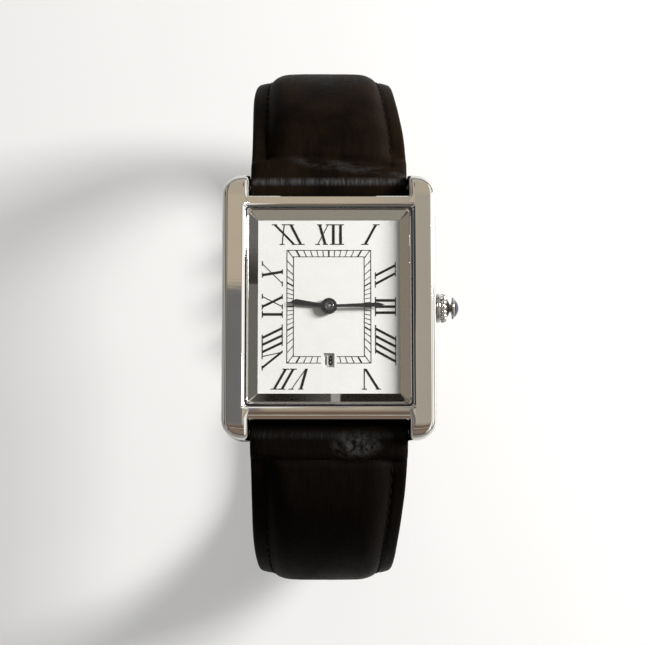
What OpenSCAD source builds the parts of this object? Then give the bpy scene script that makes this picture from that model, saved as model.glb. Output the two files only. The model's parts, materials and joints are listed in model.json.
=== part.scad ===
// Rectangular dress wristwatch with Roman numerals, a date at six and a leather strap.
// Millimetres. +Z comes out of the dial, +Y points to twelve and +X to the crown.
// The origin is the centre of the case back's outer face.

/* [Case] */
// Width of the case across the rails, without the crown
case_w = 31.0; // [30.4:0.1:32.0]
// Length of the case over the lug tips
case_l = 38.8; // [38.2:0.1:40.0]
// Length of the lugs past the top and bottom bars
lug_len = 3.4; // [3.3:0.05:3.6]
// Width of a lug
lug_w = 3.95; // [3.9:0.05:4.2]
// Width of the rails beside the crystal
rail_w = 3.6; // [3.4:0.05:3.7]
// Width of the bars above and below the crystal
bar_w = 1.75; // [1.6:0.05:1.8]
// Height of the front face above the case back
front_z = 7.1; // [6.9:0.05:7.4]
// Thickness of the case back plate
back_t = 1.0; // [0.8:0.05:1.1]
// Radius of the rounded lug tips, seen from the side
lug_r = 2.2; // [1.8:0.1:3.0]
// Radius of the case's outer corners, seen from the front
corner_r = 3.0; // [2.0:0.1:3.5]
// Radius along the front edges of the rails
edge_r = 1.3; // [0.6:0.1:1.6]

/* [Crystal and dial] */
// Thickness of the crystal
crystal_t = 1.1; // [0.8:0.05:1.3]
// Width of the sloped ring round the dial, with the ledge above it
slope_w = 1.6; // [1.5:0.05:1.7]
// Thickness of the dial
dial_t = 0.4; // [0.3:0.05:0.45]
// Width of the date window
date_w = 1.53; // [1.3:0.05:1.7]
// Height of the date window
date_h = 2.03; // [1.8:0.05:2.2]
// Distance of the date window below the centre
date_y = 7.82; // [7.6:0.02:8.0]

/* [Hands] */
// Length of the hour hand
hour_len = 5.55; // [5.0:0.05:6.0]
// Length of the minute hand
minute_len = 8.1; // [7.5:0.05:9.0]
// Diameter of the hands' hub
hub_d = 2.33; // [2.1:0.05:2.6]
// Direction of the hour hand, clockwise from twelve
hour_at = 277.4; // [270:0.1:285]
// Direction of the minute hand, clockwise from twelve
minute_at = 88.5; // [80:0.5:95]

/* [Numerals] */
// Height of the hour numerals
numeral_h = 3.03; // [2.6:0.05:3.1]
// Width of a thick stroke
thick_w = 0.39; // [0.30:0.01:0.42]
// Width of a thin stroke
thin_w = 0.14; // [0.10:0.01:0.16]
// Height of the printed numerals and track above the dial
print_t = 0.03; // [0.02:0.01:0.05]

/* [Crown] */
// Diameter of the crown
crown_d = 4.3; // [4.0:0.05:4.4]
// Diameter of the blue cabochon
cabochon_d = 2.8; // [2.4:0.05:3.0]
// How far the crown pulls out to set the time
pull = 1.0; // [0.7:0.05:1.0]
// Height of the stem's axis
stem_z = 3.2; // [3.1:0.02:3.3]

/* [Movement] */
// Radius of the round movement
movement_r = 9.7; // [9.5:0.05:9.8]
// Radius of the battery
battery_r = 3.4; // [3.1:0.05:3.45]
// Clearance round an arbor in its bore
run = 0.03; // [0.02:0.01:0.06]

/* [Strap] */
// How much narrower the strap is at the buckle than at the lugs
strap_taper = 4.9; // [4.5:0.1:5.4]
// Greatest thickness of the padded strap near the case
pad_t = 4.2; // [3.6:0.1:4.4]
// Thickness of the strap where it isn't padded
flat_t = 2.2; // [2.0:0.05:2.3]
// Thickness of the lining that lies on the wrist
lining_t = 0.8; // [0.6:0.05:0.9]
// Half of the loop's width along Y, to the middle of the strap
loop_y = 38.3; // [37.5:0.1:39.0]
// Depth of the loop's flat bottom below the case back, to the middle of the strap
loop_depth = 38.6; // [38.0:0.1:39.0]
// Half of the length of the loop's flat bottom
bottom_half = 20.4; // [20:0.1:21]

/* [Buckle] */
// Distance of the buckle's bar from the middle of the loop's bottom
bar_y = 2.0; // [1.5:0.1:2.5]
// Length of the buckle from its bar to its outer rod
buckle_l = 10.0; // [9.5:0.1:10.5]
// Radius of the buckle's outer rod
rod_r = 1.05; // [1.0:0.01:1.1]

/* [Hidden] */
$fn = 64;

steel = "#c9c4ba";
dark_steel = "#77736c";
gold = "#b9a36a";
brass = "#c2a45a";
enamel = "#f3f3f0";
blued = "#1a1f2c";
ink = "#17171a";
leather_c = "#17161a";
lining_c = "#3a322c";
rubber_c = "#202022";

// Case
bar_l = case_l - 2 * lug_len;
crystal_w = case_w - 2 * rail_w;
crystal_l = bar_l - 2 * bar_w;
crystal_r = 0.7;
dial_show_w = crystal_w - 2 * slope_w;
dial_show_l = crystal_l - 2 * slope_w;
ledge_w = 0.8;
cavity_w = crystal_w + 0.2;
cavity_l = crystal_l + 0.3;
cavity_r = 2.0;
lug_gap = case_w - 2 * lug_w;
strap_side = 0.1;
strap_w = lug_gap - 2 * strap_side;
strap_end_w = strap_w - strap_taper;
gasket_w = 0.25;
seat_z = front_z - 0.8;
ledge_z = seat_z - 0.4;
crystal_z = seat_z + 0.05;
crystal_chamfer = 0.5;
crystal_skirt = 0.3;
fit_gap = 0.1;
cut = 1.0;
back_gasket_w = 0.4;
back_gasket_t = 0.28;
back_r = 2.2;
back_half_x = case_w / 2 - 0.9;
back_half_y = bar_l / 2 - 0.1;
step_h = 0.3;
screw_x = back_half_x - 1.3;
screw_y = back_half_y - 0.95;
screw_head_r = 0.75;
screw_r = 0.45;
screw_head_t = 0.5;
screw_l = 2.5;
screw_slot = 0.2;
bar_pos_y = case_l / 2 - 1.5;
bar_pos_z = 2.8;
bar_tip_r = 0.4;
bar_r = 0.9;
bar_depth = 0.95;
pin_foot_r = 0.55;
pin_foot_l = 1.5;
bar_bore_l = 3.4;

// Stack of the dial and the movement
dial_z = 4.7;
dial_gap = 0.3;
dial_top = dial_z + dial_t;
flange_z = dial_top;
inner_z = back_t + step_h;
plate_z = 2.6;
plate_top = 4.2;
recess_r = 6.2;
recess_z = 3.6;
arbor_r = 0.25;
post_r = 0.15;
cannon_r = 0.5;
tube_r = 0.8;
hour_z = 5.5;
hour_t = 0.15;
minute_z = 5.85;
minute_t = 0.15;
bridge_z = inner_z + 0.02;
bridge_t = 0.3;
wheel_t = 0.15;
motion_z = recess_z + 0.05;
hour_wheel_z = recess_z + 0.4;
date_drive_z = plate_top + 0.07;
finger_z = date_drive_z + wheel_t;
finger_t = 0.08;
inter_z = plate_z - 0.7;
leaf_z = plate_z - 0.3;
rotor_z = plate_z - 0.74;
rotor_t = 0.24;
magnet_z = plate_z - 0.45;
magnet_h = 0.35;
stator_z = plate_z - 0.4;
stator_t = 0.3;
post_top = plate_z + 0.4;
hand_top = minute_z + minute_t;
screw_tip_r = 0.2;
plate_screw_r = 0.45;
boss_pad_r = 0.7;

// Gears: modules and teeth
m_motion = 0.1;
cannon_teeth = 12;
minute_teeth = 36;
setting_teeth = 16;
m_hour = 0.096;
pinion_teeth = 10;
hour_teeth = 40;
m_date = 0.12;
date_drive_teeth = 20;
date_teeth = 40;
m_centre = 0.07;
centre_teeth = 72;
leaf_teeth = 8;
m_rotor = 0.06;
inter_teeth = 60;
rotor_teeth = 6;
ring_teeth = 31;
minute_cd = m_motion * (cannon_teeth + minute_teeth) / 2;
minute_pos_a = 20;
setting_cd = m_motion * (minute_teeth + setting_teeth) / 2;
setting_a = -15;
date_cd = m_date * (date_drive_teeth + date_teeth) / 2;
date_pos_a = 140;
inter_cd = m_centre * (centre_teeth + leaf_teeth) / 2;
inter_pos_a = 100;
rotor_cd = m_rotor * (inter_teeth + rotor_teeth) / 2;
rotor_pos_a = 130;
minute_pos = polar(minute_cd, minute_pos_a);
setting_pos = minute_pos + polar(setting_cd, setting_a);
date_pos = polar(date_cd, date_pos_a);
inter_pos = polar(inter_cd, inter_pos_a);
rotor_pos = inter_pos + polar(rotor_cd, rotor_pos_a);
magnet_r = 0.75;
magnet_gap = 0.2;
battery_pos = polar(movement_r - battery_r - 0.1, 215);
battery_z = inner_z + 0.15;
coil_pos = [-0.6, 7.5];
coil_l = 7.0;
coil_r = 0.55;
coil_z = plate_z - 0.7;
flange_l = 0.4;
board_z = plate_z - 0.95;
board_t = 0.2;
finger_r = 2.75;
ring_in = 6.75;
ring_out = 9.1;
ring_tooth = 0.5;
ring_z = plate_top + 0.05;
ring_t = 0.25;
jumper_pos = [-0.9, -5.2];
jumper_post_r = 0.3;
jumper_t = 0.12;
guard_hole_r = 2.0;
guard_z = ring_z + ring_t + run;
guard_t = 0.1;
mount_screw_a = [25, 165, 305];
mount_screw_at = [8.6, 8.8, 8.6];

// Stem, sliding pinion and setting lever
stem_r = 0.4;
groove_r = 0.22;
groove_x = 8.3;
groove_w = 0.5;
pinion_x = 6.1;
pinion_l = 1.1;
pinion_r = 0.9;
lever_arm = 2.354;
lever_pos = [groove_x + pull / 2, -2.3];
lever_z = 2.2;
lever_t = 0.3;
stem_end_x = 4.2;
stem_step = 0.4;
stem_into_crown = 1.4;
tube_out_r = 1.0;
tube_in_r = 0.62;
crown_x = case_w / 2 + 0.15;
tube_x = case_w / 2 + 1.0;
crown_r = crown_d / 2;
crown_l = 2.6;
collar_l = 0.62;
body_l = 1.7;
body_r = 1.62;
neck_l = 2.1;
neck_r = 0.62;
bezel_r = 1.62;
flutes = 18;
flute_r = 0.28;
flute_lean = 27;
dome_r = 1.72;
dome_h = 0.72;
gasket_x = 0.32;
gasket_t = 0.28;
gasket_h = 0.21;

// Strap
low_r = loop_y - bottom_half;
flat_y = bottom_half;
side_z = low_r - loop_depth;
side_w = loop_y - bar_pos_y;
side_h = bar_pos_z - side_z;
arc_r = (side_w * side_w + side_h * side_h) / (2 * side_w);
arc_y = loop_y - arc_r;
leave_a = asin((bar_pos_y - arc_y) / arc_r);
top_len = arc_r * PI * (90 - leave_a) / 180;
low_len = low_r * PI / 2;
quarter_len = top_len + low_len + flat_y;
end_r = 1.8;
margin_w = 2.2;
keeper_off = 4.6;
keeper_gap = 2.4;
keeper_side = 0.3;
fixed_len = quarter_len - bar_y;
tail_past = 30;
tail_len = quarter_len + tail_past;
tip_len = 9;
tip_rings = 6;
edge_t = 2.7;
loop_clear = 0.2;
end_loop_r = 1.6;
buckle_bar_r = 0.6;
tongue_gap = 1.9;
tail_t = 2.0;
bar_sink = 0.2;
tail_drop = flat_t / 2 + loop_clear + tail_t / 2;
over_bar = end_loop_r + loop_clear + tail_t / 2 + bar_sink;
keeper_t = 1.1;
keeper_hole = 4.85;
keeper_top = -loop_depth + flat_t / 2 + 0.1;
low_z = keeper_top - keeper_hole - keeper_t;
rod_y = bar_y - buckle_l;
rod_z = low_z + rod_r;
bar_z = -loop_depth - bar_sink;
boss_r = 1.3;
notch_r = 0.45;
tang_eye_r = 1.0;
hole_r = 0.95;
slot_l = 5.0;
hole_step = 6.4;
arm_w = 1.5;
arm_in = strap_end_w / 2 + 0.35;
tang_w = 1.4;
tang_tip_t = 0.5;
keeper_in_x = strap_end_w / 2 + keeper_side;
fixed_keeper_y = bar_y + keeper_off;
fixed_keeper_w = 5.0;
free_keeper_y = fixed_keeper_y + fixed_keeper_w + keeper_gap;
free_keeper_w = 4.5;
ring_step = 3.0;

function polar(r, a) = [r * cos(a), r * sin(a)];
function mix(a, b, t) = a + (b - a) * t;
function ease(t) = let (u = min(max(t, 0), 1)) u * u * (3 - 2 * u);

// Plain shapes

// Rectangle with round corners, from squares and circles
module rounded(w, l, r) {
    square([w, l - 2 * r], center = true);
    square([w - 2 * r, l], center = true);
    for (x = [-1, 1], y = [-1, 1]) translate([x * (w / 2 - r), y * (l / 2 - r)]) circle(r);
}

module slab(w, l, r, z, t) {
    translate([0, 0, z]) linear_extrude(t) rounded(w, l, r);
}

module rod(r, z, h, at = [0, 0]) {
    translate([at[0], at[1], z]) cylinder(r = r, h = h);
}

// Four-sided funnel whose sides are flat, from one rectangle up to another
module funnel(w1, l1, z1, w2, l2, z2) {
    long = l1 + l2 + w1 + w2;
    intersection() {
        rotate([90, 0, 0]) linear_extrude(long, center = true)
            polygon([[-w1 / 2, z1], [w1 / 2, z1], [w2 / 2, z2], [-w2 / 2, z2]]);
        rotate([90, 0, 90]) linear_extrude(long, center = true)
            polygon([[-l1 / 2, z1], [l1 / 2, z1], [l2 / 2, z2], [-l2 / 2, z2]]);
    }
}

// Flat wheel with straight-sided teeth
module gear(m, teeth, t, bore = 0) {
    root = m * (teeth / 2 - 1.15);
    tip = m * (teeth / 2 + 0.85);
    step = 360 / teeth;
    linear_extrude(t) difference() {
        polygon([for (i = [0:teeth - 1], p = [[root, -0.29], [tip, -0.12], [tip, 0.12], [root, 0.29]])
            polar(p[0], (i + p[1]) * step)]);
        if (bore > 0) circle(bore);
    }
}

// Case

module lug_bores() {
    for (s = [-1, 1], e = [-1, 1])
        translate([s * lug_gap / 2, e * bar_pos_y, bar_pos_z]) rotate([0, s * 90, 0])
            translate([0, 0, -cut]) cylinder(r = bar_tip_r + run, h = bar_depth + cut + fit_gap);
}

module case_middle() color(steel) difference() {
    h = front_z - back_t;
    intersection() {
        slab(case_w, case_l, corner_r, back_t, h);
        rotate([90, 0, 90]) linear_extrude(case_w + 2 * cut, center = true) intersection() {
            translate([-case_l / 2, back_t]) square([case_l, h]);
            union() {
                translate([-case_l / 2 + lug_r, back_t]) square([case_l - 2 * lug_r, h]);
                for (e = [-1, 1]) translate([e * (case_l / 2 - lug_r), front_z - lug_r]) circle(lug_r);
            }
        }
        rotate([90, 0, 0]) linear_extrude(case_l + 2 * cut, center = true) union() {
            translate([-case_w / 2, back_t]) square([case_w, h - edge_r]);
            translate([-case_w / 2 + edge_r, back_t]) square([case_w - 2 * edge_r, h]);
            for (s = [-1, 1]) translate([s * (case_w / 2 - edge_r), front_z - edge_r]) circle(edge_r);
        }
    }
    slab(cavity_w, cavity_l, cavity_r, back_t - cut, ledge_z - back_t + cut);
    funnel(dial_show_w + 2 * ledge_w, dial_show_l + 2 * ledge_w, ledge_z - 0.01,
        crystal_w - ledge_w, crystal_l - ledge_w, seat_z + 0.01);
    slab(crystal_w + 2 * gasket_w, crystal_l + 2 * gasket_w, crystal_r + gasket_w, seat_z, 2 * cut);
    for (e = [-1, 1]) translate([-lug_gap / 2, e > 0 ? bar_l / 2 : -case_l, back_t - cut])
        cube([lug_gap, case_l - bar_l / 2, front_z + 2 * cut]);
    lug_bores();
    translate([0, 0, stem_z]) rotate([0, 90, 0]) cylinder(r = tube_out_r, h = case_w);
    for (x = [-1, 1], y = [-1, 1])
        translate([x * screw_x, y * screw_y, back_t - cut]) cylinder(r = screw_r, h = screw_l + 0.7);
}

module case_back() color(steel) difference() {
    union() {
        slab(2 * back_half_x, 2 * back_half_y, back_r, 0, back_t);
        slab(cavity_w - 2 * back_gasket_w, cavity_l - 2 * back_gasket_w, cavity_r - back_gasket_w,
            back_t / 2, inner_z - back_t / 2);
    }
    for (x = [-1, 1], y = [-1, 1]) translate([x * screw_x, y * screw_y, 0]) {
        translate([0, 0, -cut]) cylinder(r = screw_r, h = 4 * cut);
        translate([0, 0, -cut]) cylinder(r = screw_head_r, h = cut + screw_head_t);
    }
}

module case_back_gasket() color(rubber_c) difference() {
    slab(cavity_w, cavity_l, cavity_r, back_t, back_gasket_t);
    slab(cavity_w - 2 * back_gasket_w, cavity_l - 2 * back_gasket_w, cavity_r - back_gasket_w, 0, 3 * cut);
}

module case_back_screws() color(dark_steel)
    for (x = [-1, 1], y = [-1, 1]) translate([x * screw_x, y * screw_y, 0]) difference() {
        union() {
            rod(screw_head_r - run, 0.02, screw_head_t - 0.02);
            rod(screw_r, screw_head_t - 0.1, screw_l);
        }
        translate([-cut, -screw_slot / 2, -cut]) cube([2 * cut, screw_slot, cut + 0.22]);
    }

module crystal() color("#eef4f6", 0.3) intersection() {
    slab(crystal_w, crystal_l, crystal_r, crystal_z, crystal_t);
    funnel(crystal_w + 2 * crystal_t, crystal_l + 2 * crystal_t, crystal_z - crystal_skirt,
        crystal_w - 2 * crystal_chamfer, crystal_l - 2 * crystal_chamfer,
        crystal_z + crystal_t + crystal_chamfer / 2);
}

module crystal_gasket() color(rubber_c) difference() {
    slab(crystal_w + 2 * gasket_w, crystal_l + 2 * gasket_w, crystal_r + gasket_w, seat_z,
        front_z - seat_z - fit_gap);
    slab(crystal_w, crystal_l, crystal_r, crystal_z, 2 * cut);
    slab(crystal_w - 2 * crystal_skirt, crystal_l - 2 * crystal_skirt, crystal_r - crystal_skirt,
        seat_z - cut, 2 * cut);
}

module flange_ring() color(steel) difference() {
    slab(cavity_w - fit_gap, cavity_l - fit_gap, cavity_r - fit_gap / 2, flange_z, ledge_z - flange_z);
    funnel(dial_show_w, dial_show_l, flange_z - 0.01,
        dial_show_w + 2 * ledge_w, dial_show_l + 2 * ledge_w, ledge_z + 0.01);
}

// Dial and print

module dial() color(enamel) difference() {
    slab(cavity_w - 2 * dial_gap, cavity_l - 2 * dial_gap, cavity_r - dial_gap, dial_z, dial_t);
    rod(tube_r + fit_gap - 0.02, dial_z - cut, 3 * cut);
    translate([-date_w / 2, -date_y - date_h / 2, dial_z - cut]) cube([date_w, date_h, 3 * cut]);
}

// One stroke from the top line of a numeral, at x0, to its bottom line, at x1
// A stroke stands across a band of the dial: its place at the outer and the inner end of the band,
// then its width, then half the serif at each end
serif_half = 0.5;
x_serif = 0.36;
band_out_y = dial_show_l / 2 - 0.57;
band_out_x = dial_show_w / 2 - 0.58;
function bold(a, b) = [a, b, thick_w, serif_half, serif_half];
function fine(a, b) = [a, b, thin_w, x_serif, x_serif];
function bold_x(a, b) = [a, b, thick_w, x_serif, x_serif];
function bold_v(a, b) = [a, b, thick_w, x_serif, 0];
function fine_v(a, b) = [a, b, thin_w, x_serif, 0];

// Places on a dial of 20.6 by 25.3 mm, read clockwise as the numeral is
twelve_side = [
    bold_x(-7.94, -5.0), fine(-6.5, -6.8), bold(-5.59, -4.04),
    bold_x(-1.37, -0.51), fine(-0.07, -1.64), bold(0.65, 0.65), bold(1.7, 1.7),
    bold(6.89, 5.25)
];
three_side = [
    bold(-6.07, -4.5), bold(-4.9, -3.26),
    bold(-0.89, -0.89), bold(0.02, 0.02), bold(0.9, 0.9),
    bold(4.79, 3.19), bold(5.87, 4.27), bold(7.0, 5.3), bold(8.06, 6.36)
];
six_side = [
    bold_v(-7.16, -5.25), fine_v(-5.11, -5.11),
    bold_v(4.08, 3.23), fine_v(5.45, 3.32), bold(6.82, 5.11), bold(7.94, 6.22)
];
nine_side = [
    bold_v(-8.97, -6.54), fine_v(-7.3, -6.64), bold(-6.68, -5.24), bold(-5.63, -4.2), bold(-4.61, -3.12),
    bold(-1.15, -1.15), bold_x(-0.07, 1.42), fine(1.5, -0.05),
    bold_x(4.59, 5.1), fine(6.31, 3.32)
];

module band(strokes, out, k) {
    inner = out - numeral_h;
    for (s = strokes) {
        polygon([[k * s[1] - s[2] / 2, inner], [k * s[1] + s[2] / 2, inner],
            [k * s[0] + s[2] / 2, out], [k * s[0] - s[2] / 2, out]]);
        for (e = [[s[0], s[3], out - thin_w], [s[1], s[4], inner]]) if (e[1] > 0)
            translate([k * e[0] - e[1], e[2]]) square([2 * e[1], thin_w]);
    }
}

module hour_numerals() color(ink) translate([0, 0, dial_top]) linear_extrude(print_t) {
    kx = dial_show_w / 20.6;
    ky = dial_show_l / 25.3;
    band(twelve_side, band_out_y, kx);
    rotate(-90) band(three_side, band_out_x, ky);
    rotate(180) band(six_side, band_out_y, kx);
    rotate(90) band(nine_side, band_out_x, ky);
}

numeral_edge = 0.72;
track_w = 0.95;
track_edge = numeral_edge + numeral_h + 0.66;
track_out = [dial_show_w / 2 - track_edge + 0.2, dial_show_l / 2 - track_edge];
track_in = track_out - [track_w, track_w];
track_line = 0.1;
hour_mark = 0.2;
track_gap = 1.16;
function edge_at(half, a) = min(half[0] / max(abs(sin(a)), 0.001), half[1] / max(abs(cos(a)), 0.001));

module frame_line(half) {
    difference() {
        square([2 * half[0] + track_line, 2 * half[1] + track_line], center = true);
        square([2 * half[0] - track_line, 2 * half[1] - track_line], center = true);
    }
}

module minute_track() color(ink) translate([0, 0, dial_top]) linear_extrude(print_t) difference() {
    union() {
        frame_line(track_out);
        frame_line(track_in);
        for (i = [0:59]) let (a = i * 6, r0 = edge_at(track_in, a), r1 = edge_at(track_out, a),
                w = i % 5 == 0 ? hour_mark : track_line)
            rotate(-a) translate([-w / 2, r0]) square([w, r1 - r0]);
    }
    translate([-track_gap, -track_out[1] - 1]) square([2 * track_gap, 3]);
}

// Hands and motion work

hour_root = 0.4;
hour_belly = 0.85;
minute_root = 0.35;
minute_belly = 0.63;
belly_at = 0.88;

module hand(len, root_w, belly_w, bore) {
    belly = len * belly_at;
    difference() {
        union() {
            polygon([[root_w / 2, 0], [belly_w / 2, belly], [0, len], [-belly_w / 2, belly],
                [-root_w / 2, 0]]);
            circle(hub_d / 2);
        }
        circle(bore);
    }
}

module hour_hand() color(blued) translate([0, 0, hour_z]) rotate(-hour_at)
    linear_extrude(hour_t) hand(hour_len, hour_root, hour_belly, tube_r);

module minute_hand() color(blued) translate([0, 0, minute_z]) rotate(-minute_at)
    linear_extrude(minute_t) hand(minute_len, minute_root, minute_belly, cannon_r);

module cannon_pinion() color(brass) {
    difference() {
        union() {
            translate([0, 0, motion_z]) rotate(minute_pos_a) gear(m_motion, cannon_teeth, 2 * wheel_t);
            rod(cannon_r, motion_z, hand_top + 0.1 - motion_z);
        }
        rod(arbor_r, 0, hand_top - 0.1);
    }
}

module centre_wheel() color(brass) {
    rod(arbor_r, bridge_z, hand_top - 0.1 - bridge_z);
    translate([0, 0, plate_z - 0.1 - wheel_t]) rotate(inter_pos_a) gear(m_centre, centre_teeth, wheel_t);
}

module hour_wheel() color(brass) difference() {
    union() {
        translate([0, 0, hour_wheel_z]) rotate(minute_pos_a) gear(m_hour, hour_teeth, wheel_t);
        translate([0, 0, date_drive_z]) rotate(date_pos_a) gear(m_date, date_drive_teeth, wheel_t);
        rod(tube_r, hour_wheel_z, hour_z + hour_t - hour_wheel_z);
    }
    rod(cannon_r + run, plate_z, dial_top);
}

module minute_wheel() color(brass) translate([minute_pos[0], minute_pos[1], 0]) rotate(minute_pos_a + 180)
    difference() {
        union() {
            translate([0, 0, motion_z]) rotate(180 / minute_teeth)
                gear(m_motion, minute_teeth, wheel_t);
            translate([0, 0, motion_z + 0.1]) rotate(180 / pinion_teeth) gear(m_hour, pinion_teeth, 0.4);
        }
        rod(post_r + run, plate_z, plate_top);
    }

module setting_wheel() color(brass) translate([setting_pos[0], setting_pos[1], 0]) rotate(setting_a + 180)
    difference() {
        translate([0, 0, motion_z]) rotate(180 / setting_teeth) gear(m_motion, setting_teeth, wheel_t);
        rod(post_r + run, plate_z, plate_top);
    }

module date_wheel() color(brass) translate([date_pos[0], date_pos[1], 0])
    rotate(date_pos_a + 180) difference() {
    union() {
        translate([0, 0, date_drive_z]) rotate(180 / date_teeth) gear(m_date, date_teeth, wheel_t);
        translate([0, 0, finger_z]) rotate(100) linear_extrude(finger_t) {
            circle(0.5);
            polygon([[0, -0.3], [finger_r, -0.08], [finger_r, 0.08], [0, 0.3]]);
        }
    }
    rod(post_r + run, plate_z, plate_top);
}

module date_ring() color("#f2f2ee") translate([0, 0, ring_z]) linear_extrude(ring_t) difference() {
    circle(ring_out);
    polygon([for (i = [0:ring_teeth - 1], p = [[ring_in, -0.3], [ring_in - ring_tooth, -0.04],
            [ring_in - ring_tooth, 0.04], [ring_in, 0.3]])
        polar(p[0], (i + p[1]) * 360 / ring_teeth)]);
}

module date_guard_plate() color(steel) translate([0, 0, guard_z]) linear_extrude(guard_t) difference() {
    circle(ring_in + 0.05);
    circle(guard_hole_r);
}

module date_jumper() color(steel) translate([0, 0, ring_z]) linear_extrude(jumper_t) {
    tip = polar(ring_in - 0.2, -5.5 * 360 / ring_teeth);
    translate(jumper_pos) circle(0.4);
    polygon([jumper_pos + [0, 0.15], jumper_pos - [0, 0.15], tip - [0.35, 0.02], tip, tip + [-0.05, 0.3]]);
}

// Movement

module main_plate() color(gold) {
    plate_body();
    rod(post_r, recess_z - 0.1, 0.8, minute_pos);
    rod(post_r, recess_z - 0.1, 0.45, setting_pos);
    rod(post_r, recess_z - 0.1, 0.98, date_pos);
    rod(jumper_post_r, recess_z - 0.1, ring_z - recess_z + 0.1, jumper_pos);
}

module plate_body() difference() {
    union() {
        rod(movement_r, plate_z, plate_top - plate_z);
        for (a = mount_screw_a) let (i = search(a, mount_screw_a)[0], p = polar(mount_screw_at[i], a))
            rod(boss_pad_r, bridge_z + bridge_t, plate_z - bridge_z - bridge_t, p);
    }
    rod(recess_r, recess_z, 3 * cut);
    rod(arbor_r + run, 0, dial_top);
    for (p = [inter_pos, rotor_pos]) rod(post_r + run, 0, post_top, p);
    translate([5.2, -1.15, plate_z - 1]) cube([5, 2.3, 4]);
    rod(post_r + 0.05 + run, 0, 3.4, lever_pos);
    translate([3.9, 0, stem_z]) rotate([0, 90, 0]) cylinder(r = groove_r + run, h = 3);
    for (i = [0:2]) rod(screw_tip_r, 0, recess_z, polar(mount_screw_at[i], mount_screw_a[i]));
}

module train_bridge() color(gold) difference() {
    intersection() {
        rod(movement_r - 0.1, bridge_z, bridge_t);
        union() {
            translate([-4.2, -2.8, 0]) cube([13, 9, 9]);
            rotate(165) translate([0, -1.2, 0]) cube([12, 2.4, 9]);
            rotate(305) translate([0, -1.0, 0]) cube([12, 2.0, 9]);
            rotate(25) translate([0, -1.2, 0]) cube([12, 2.4, 9]);
        }
    }
    rod(battery_r + 0.15, 0, 9, battery_pos);
    rod(arbor_r + run, 0, dial_top);
    for (p = [inter_pos, rotor_pos]) rod(post_r + run, 0, post_top, p);
    for (i = [0:2]) rod(screw_tip_r, 0, recess_z, polar(mount_screw_at[i], mount_screw_a[i]));
    translate([coil_pos[0] - coil_l / 2 - 0.9, coil_pos[1] - 1.0, 0]) cube([coil_l + 1.8, 3, 9]);
}

module intermediate_wheel() color(brass) translate([inter_pos[0], inter_pos[1], 0]) {
    rod(post_r, bridge_z, post_top - 0.05 - bridge_z);
    translate([0, 0, inter_z]) rotate(rotor_pos_a) gear(m_rotor, inter_teeth, wheel_t);
    translate([0, 0, leaf_z]) rotate(inter_pos_a + 180 + 180 / leaf_teeth) gear(m_centre, leaf_teeth, 0.25);
}

module rotor() color(dark_steel) translate([rotor_pos[0], rotor_pos[1], 0]) {
    rod(post_r, bridge_z, rotor_z - bridge_z);
    rod(post_r - 0.05, rotor_z - 0.06, 0.4);
    translate([0, 0, rotor_z]) rotate(rotor_pos_a + 180 + 180 / rotor_teeth)
        gear(m_rotor, rotor_teeth, rotor_t);
    rod(magnet_r, magnet_z, magnet_h);
    rod(post_r, magnet_z + magnet_h - 0.1, post_top - magnet_z - magnet_h);
}

module stator() color(dark_steel) translate([0, 0, stator_z]) linear_extrude(stator_t) difference() {
        union() {
            translate(rotor_pos) circle(magnet_r + magnet_gap + 0.5);
            translate([-5.4, rotor_pos[1] - 0.7]) square([4.2, 1.4]);
            translate([-5.4, rotor_pos[1] - 0.7]) square([1.5, 3.25]);
            translate([rotor_pos[0], rotor_pos[1] - 0.5]) square([4.8, 1.2]);
            translate([2.0, rotor_pos[1] - 0.5]) square([1.6, 3.05]);
        }
        translate(rotor_pos) circle(magnet_r + magnet_gap);
}

module coil() color("#b5602c") {
    translate([coil_pos[0] - coil_l / 2, coil_pos[1], coil_z]) rotate([0, 90, 0])
        cylinder(r = coil_r, h = coil_l);
    for (e = [-1, 1]) translate([coil_pos[0] + e * (coil_l + flange_l) / 2, coil_pos[1], coil_z])
        rotate([0, 90, 0]) cylinder(r = coil_r + 0.03, h = flange_l, center = true);
}

module circuit_board() color("#2f6a46") difference() {
    translate([0, 0, board_z]) linear_extrude(board_t) intersection() {
        circle(movement_r - 0.3);
        union() {
            translate([0.6, -9.5]) square([5.2, 6.6]);
            translate([-1.2, -9.5]) square([2, 5]);
        }
    }
    for (i = [0:2]) rod(boss_pad_r + 0.05, 0, recess_z, polar(mount_screw_at[i], mount_screw_a[i]));
}

quartz_r = 0.35;
quartz_l = 4.2;
module quartz_can() color(steel) translate([2.2, -8.2, board_z + board_t + quartz_r + 0.01])
    rotate([-90, 0, 0]) {
        cylinder(r = quartz_r, h = quartz_l);
        translate([0, 0, quartz_l]) cylinder(r = quartz_r - 0.15, h = 0.3);
    }

module battery() color(steel) {
    rod(battery_r - 0.15, battery_z, 0.2, battery_pos);
    rod(battery_r, battery_z + 0.2, plate_z - battery_z - 0.2, battery_pos);
}

module battery_clamp() color(steel) difference() {
    intersection() {
        rod(movement_r - 0.1, inner_z + 0.01, 0.12);
        translate([battery_pos[0], battery_pos[1], 0]) rotate(-55)
            translate([-4.2, -0.8, 0]) cube([8.4, 1.6, 9]);
    }
    rod(3.0, 0, 6);
}

module movement_screws() color(blued) for (i = [0:2]) {
    p = polar(mount_screw_at[i], mount_screw_a[i]);
    rod(plate_screw_r, bridge_z - 0.02, 0.02, p);
    rod(screw_tip_r, bridge_z, 2.2, p);
}

module movement_ring() color("#d9d6cc") difference() {
    slab(cavity_w - 2 * fit_gap, cavity_l - 2 * fit_gap, cavity_r - fit_gap, inner_z, dial_z - inner_z);
    rod(movement_r + fit_gap / 2, 0, front_z);
    translate([0, 0, stem_z]) rotate([0, 90, 0]) cylinder(r = tube_out_r + fit_gap, h = case_w);
}

// Stem and crown

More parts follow.
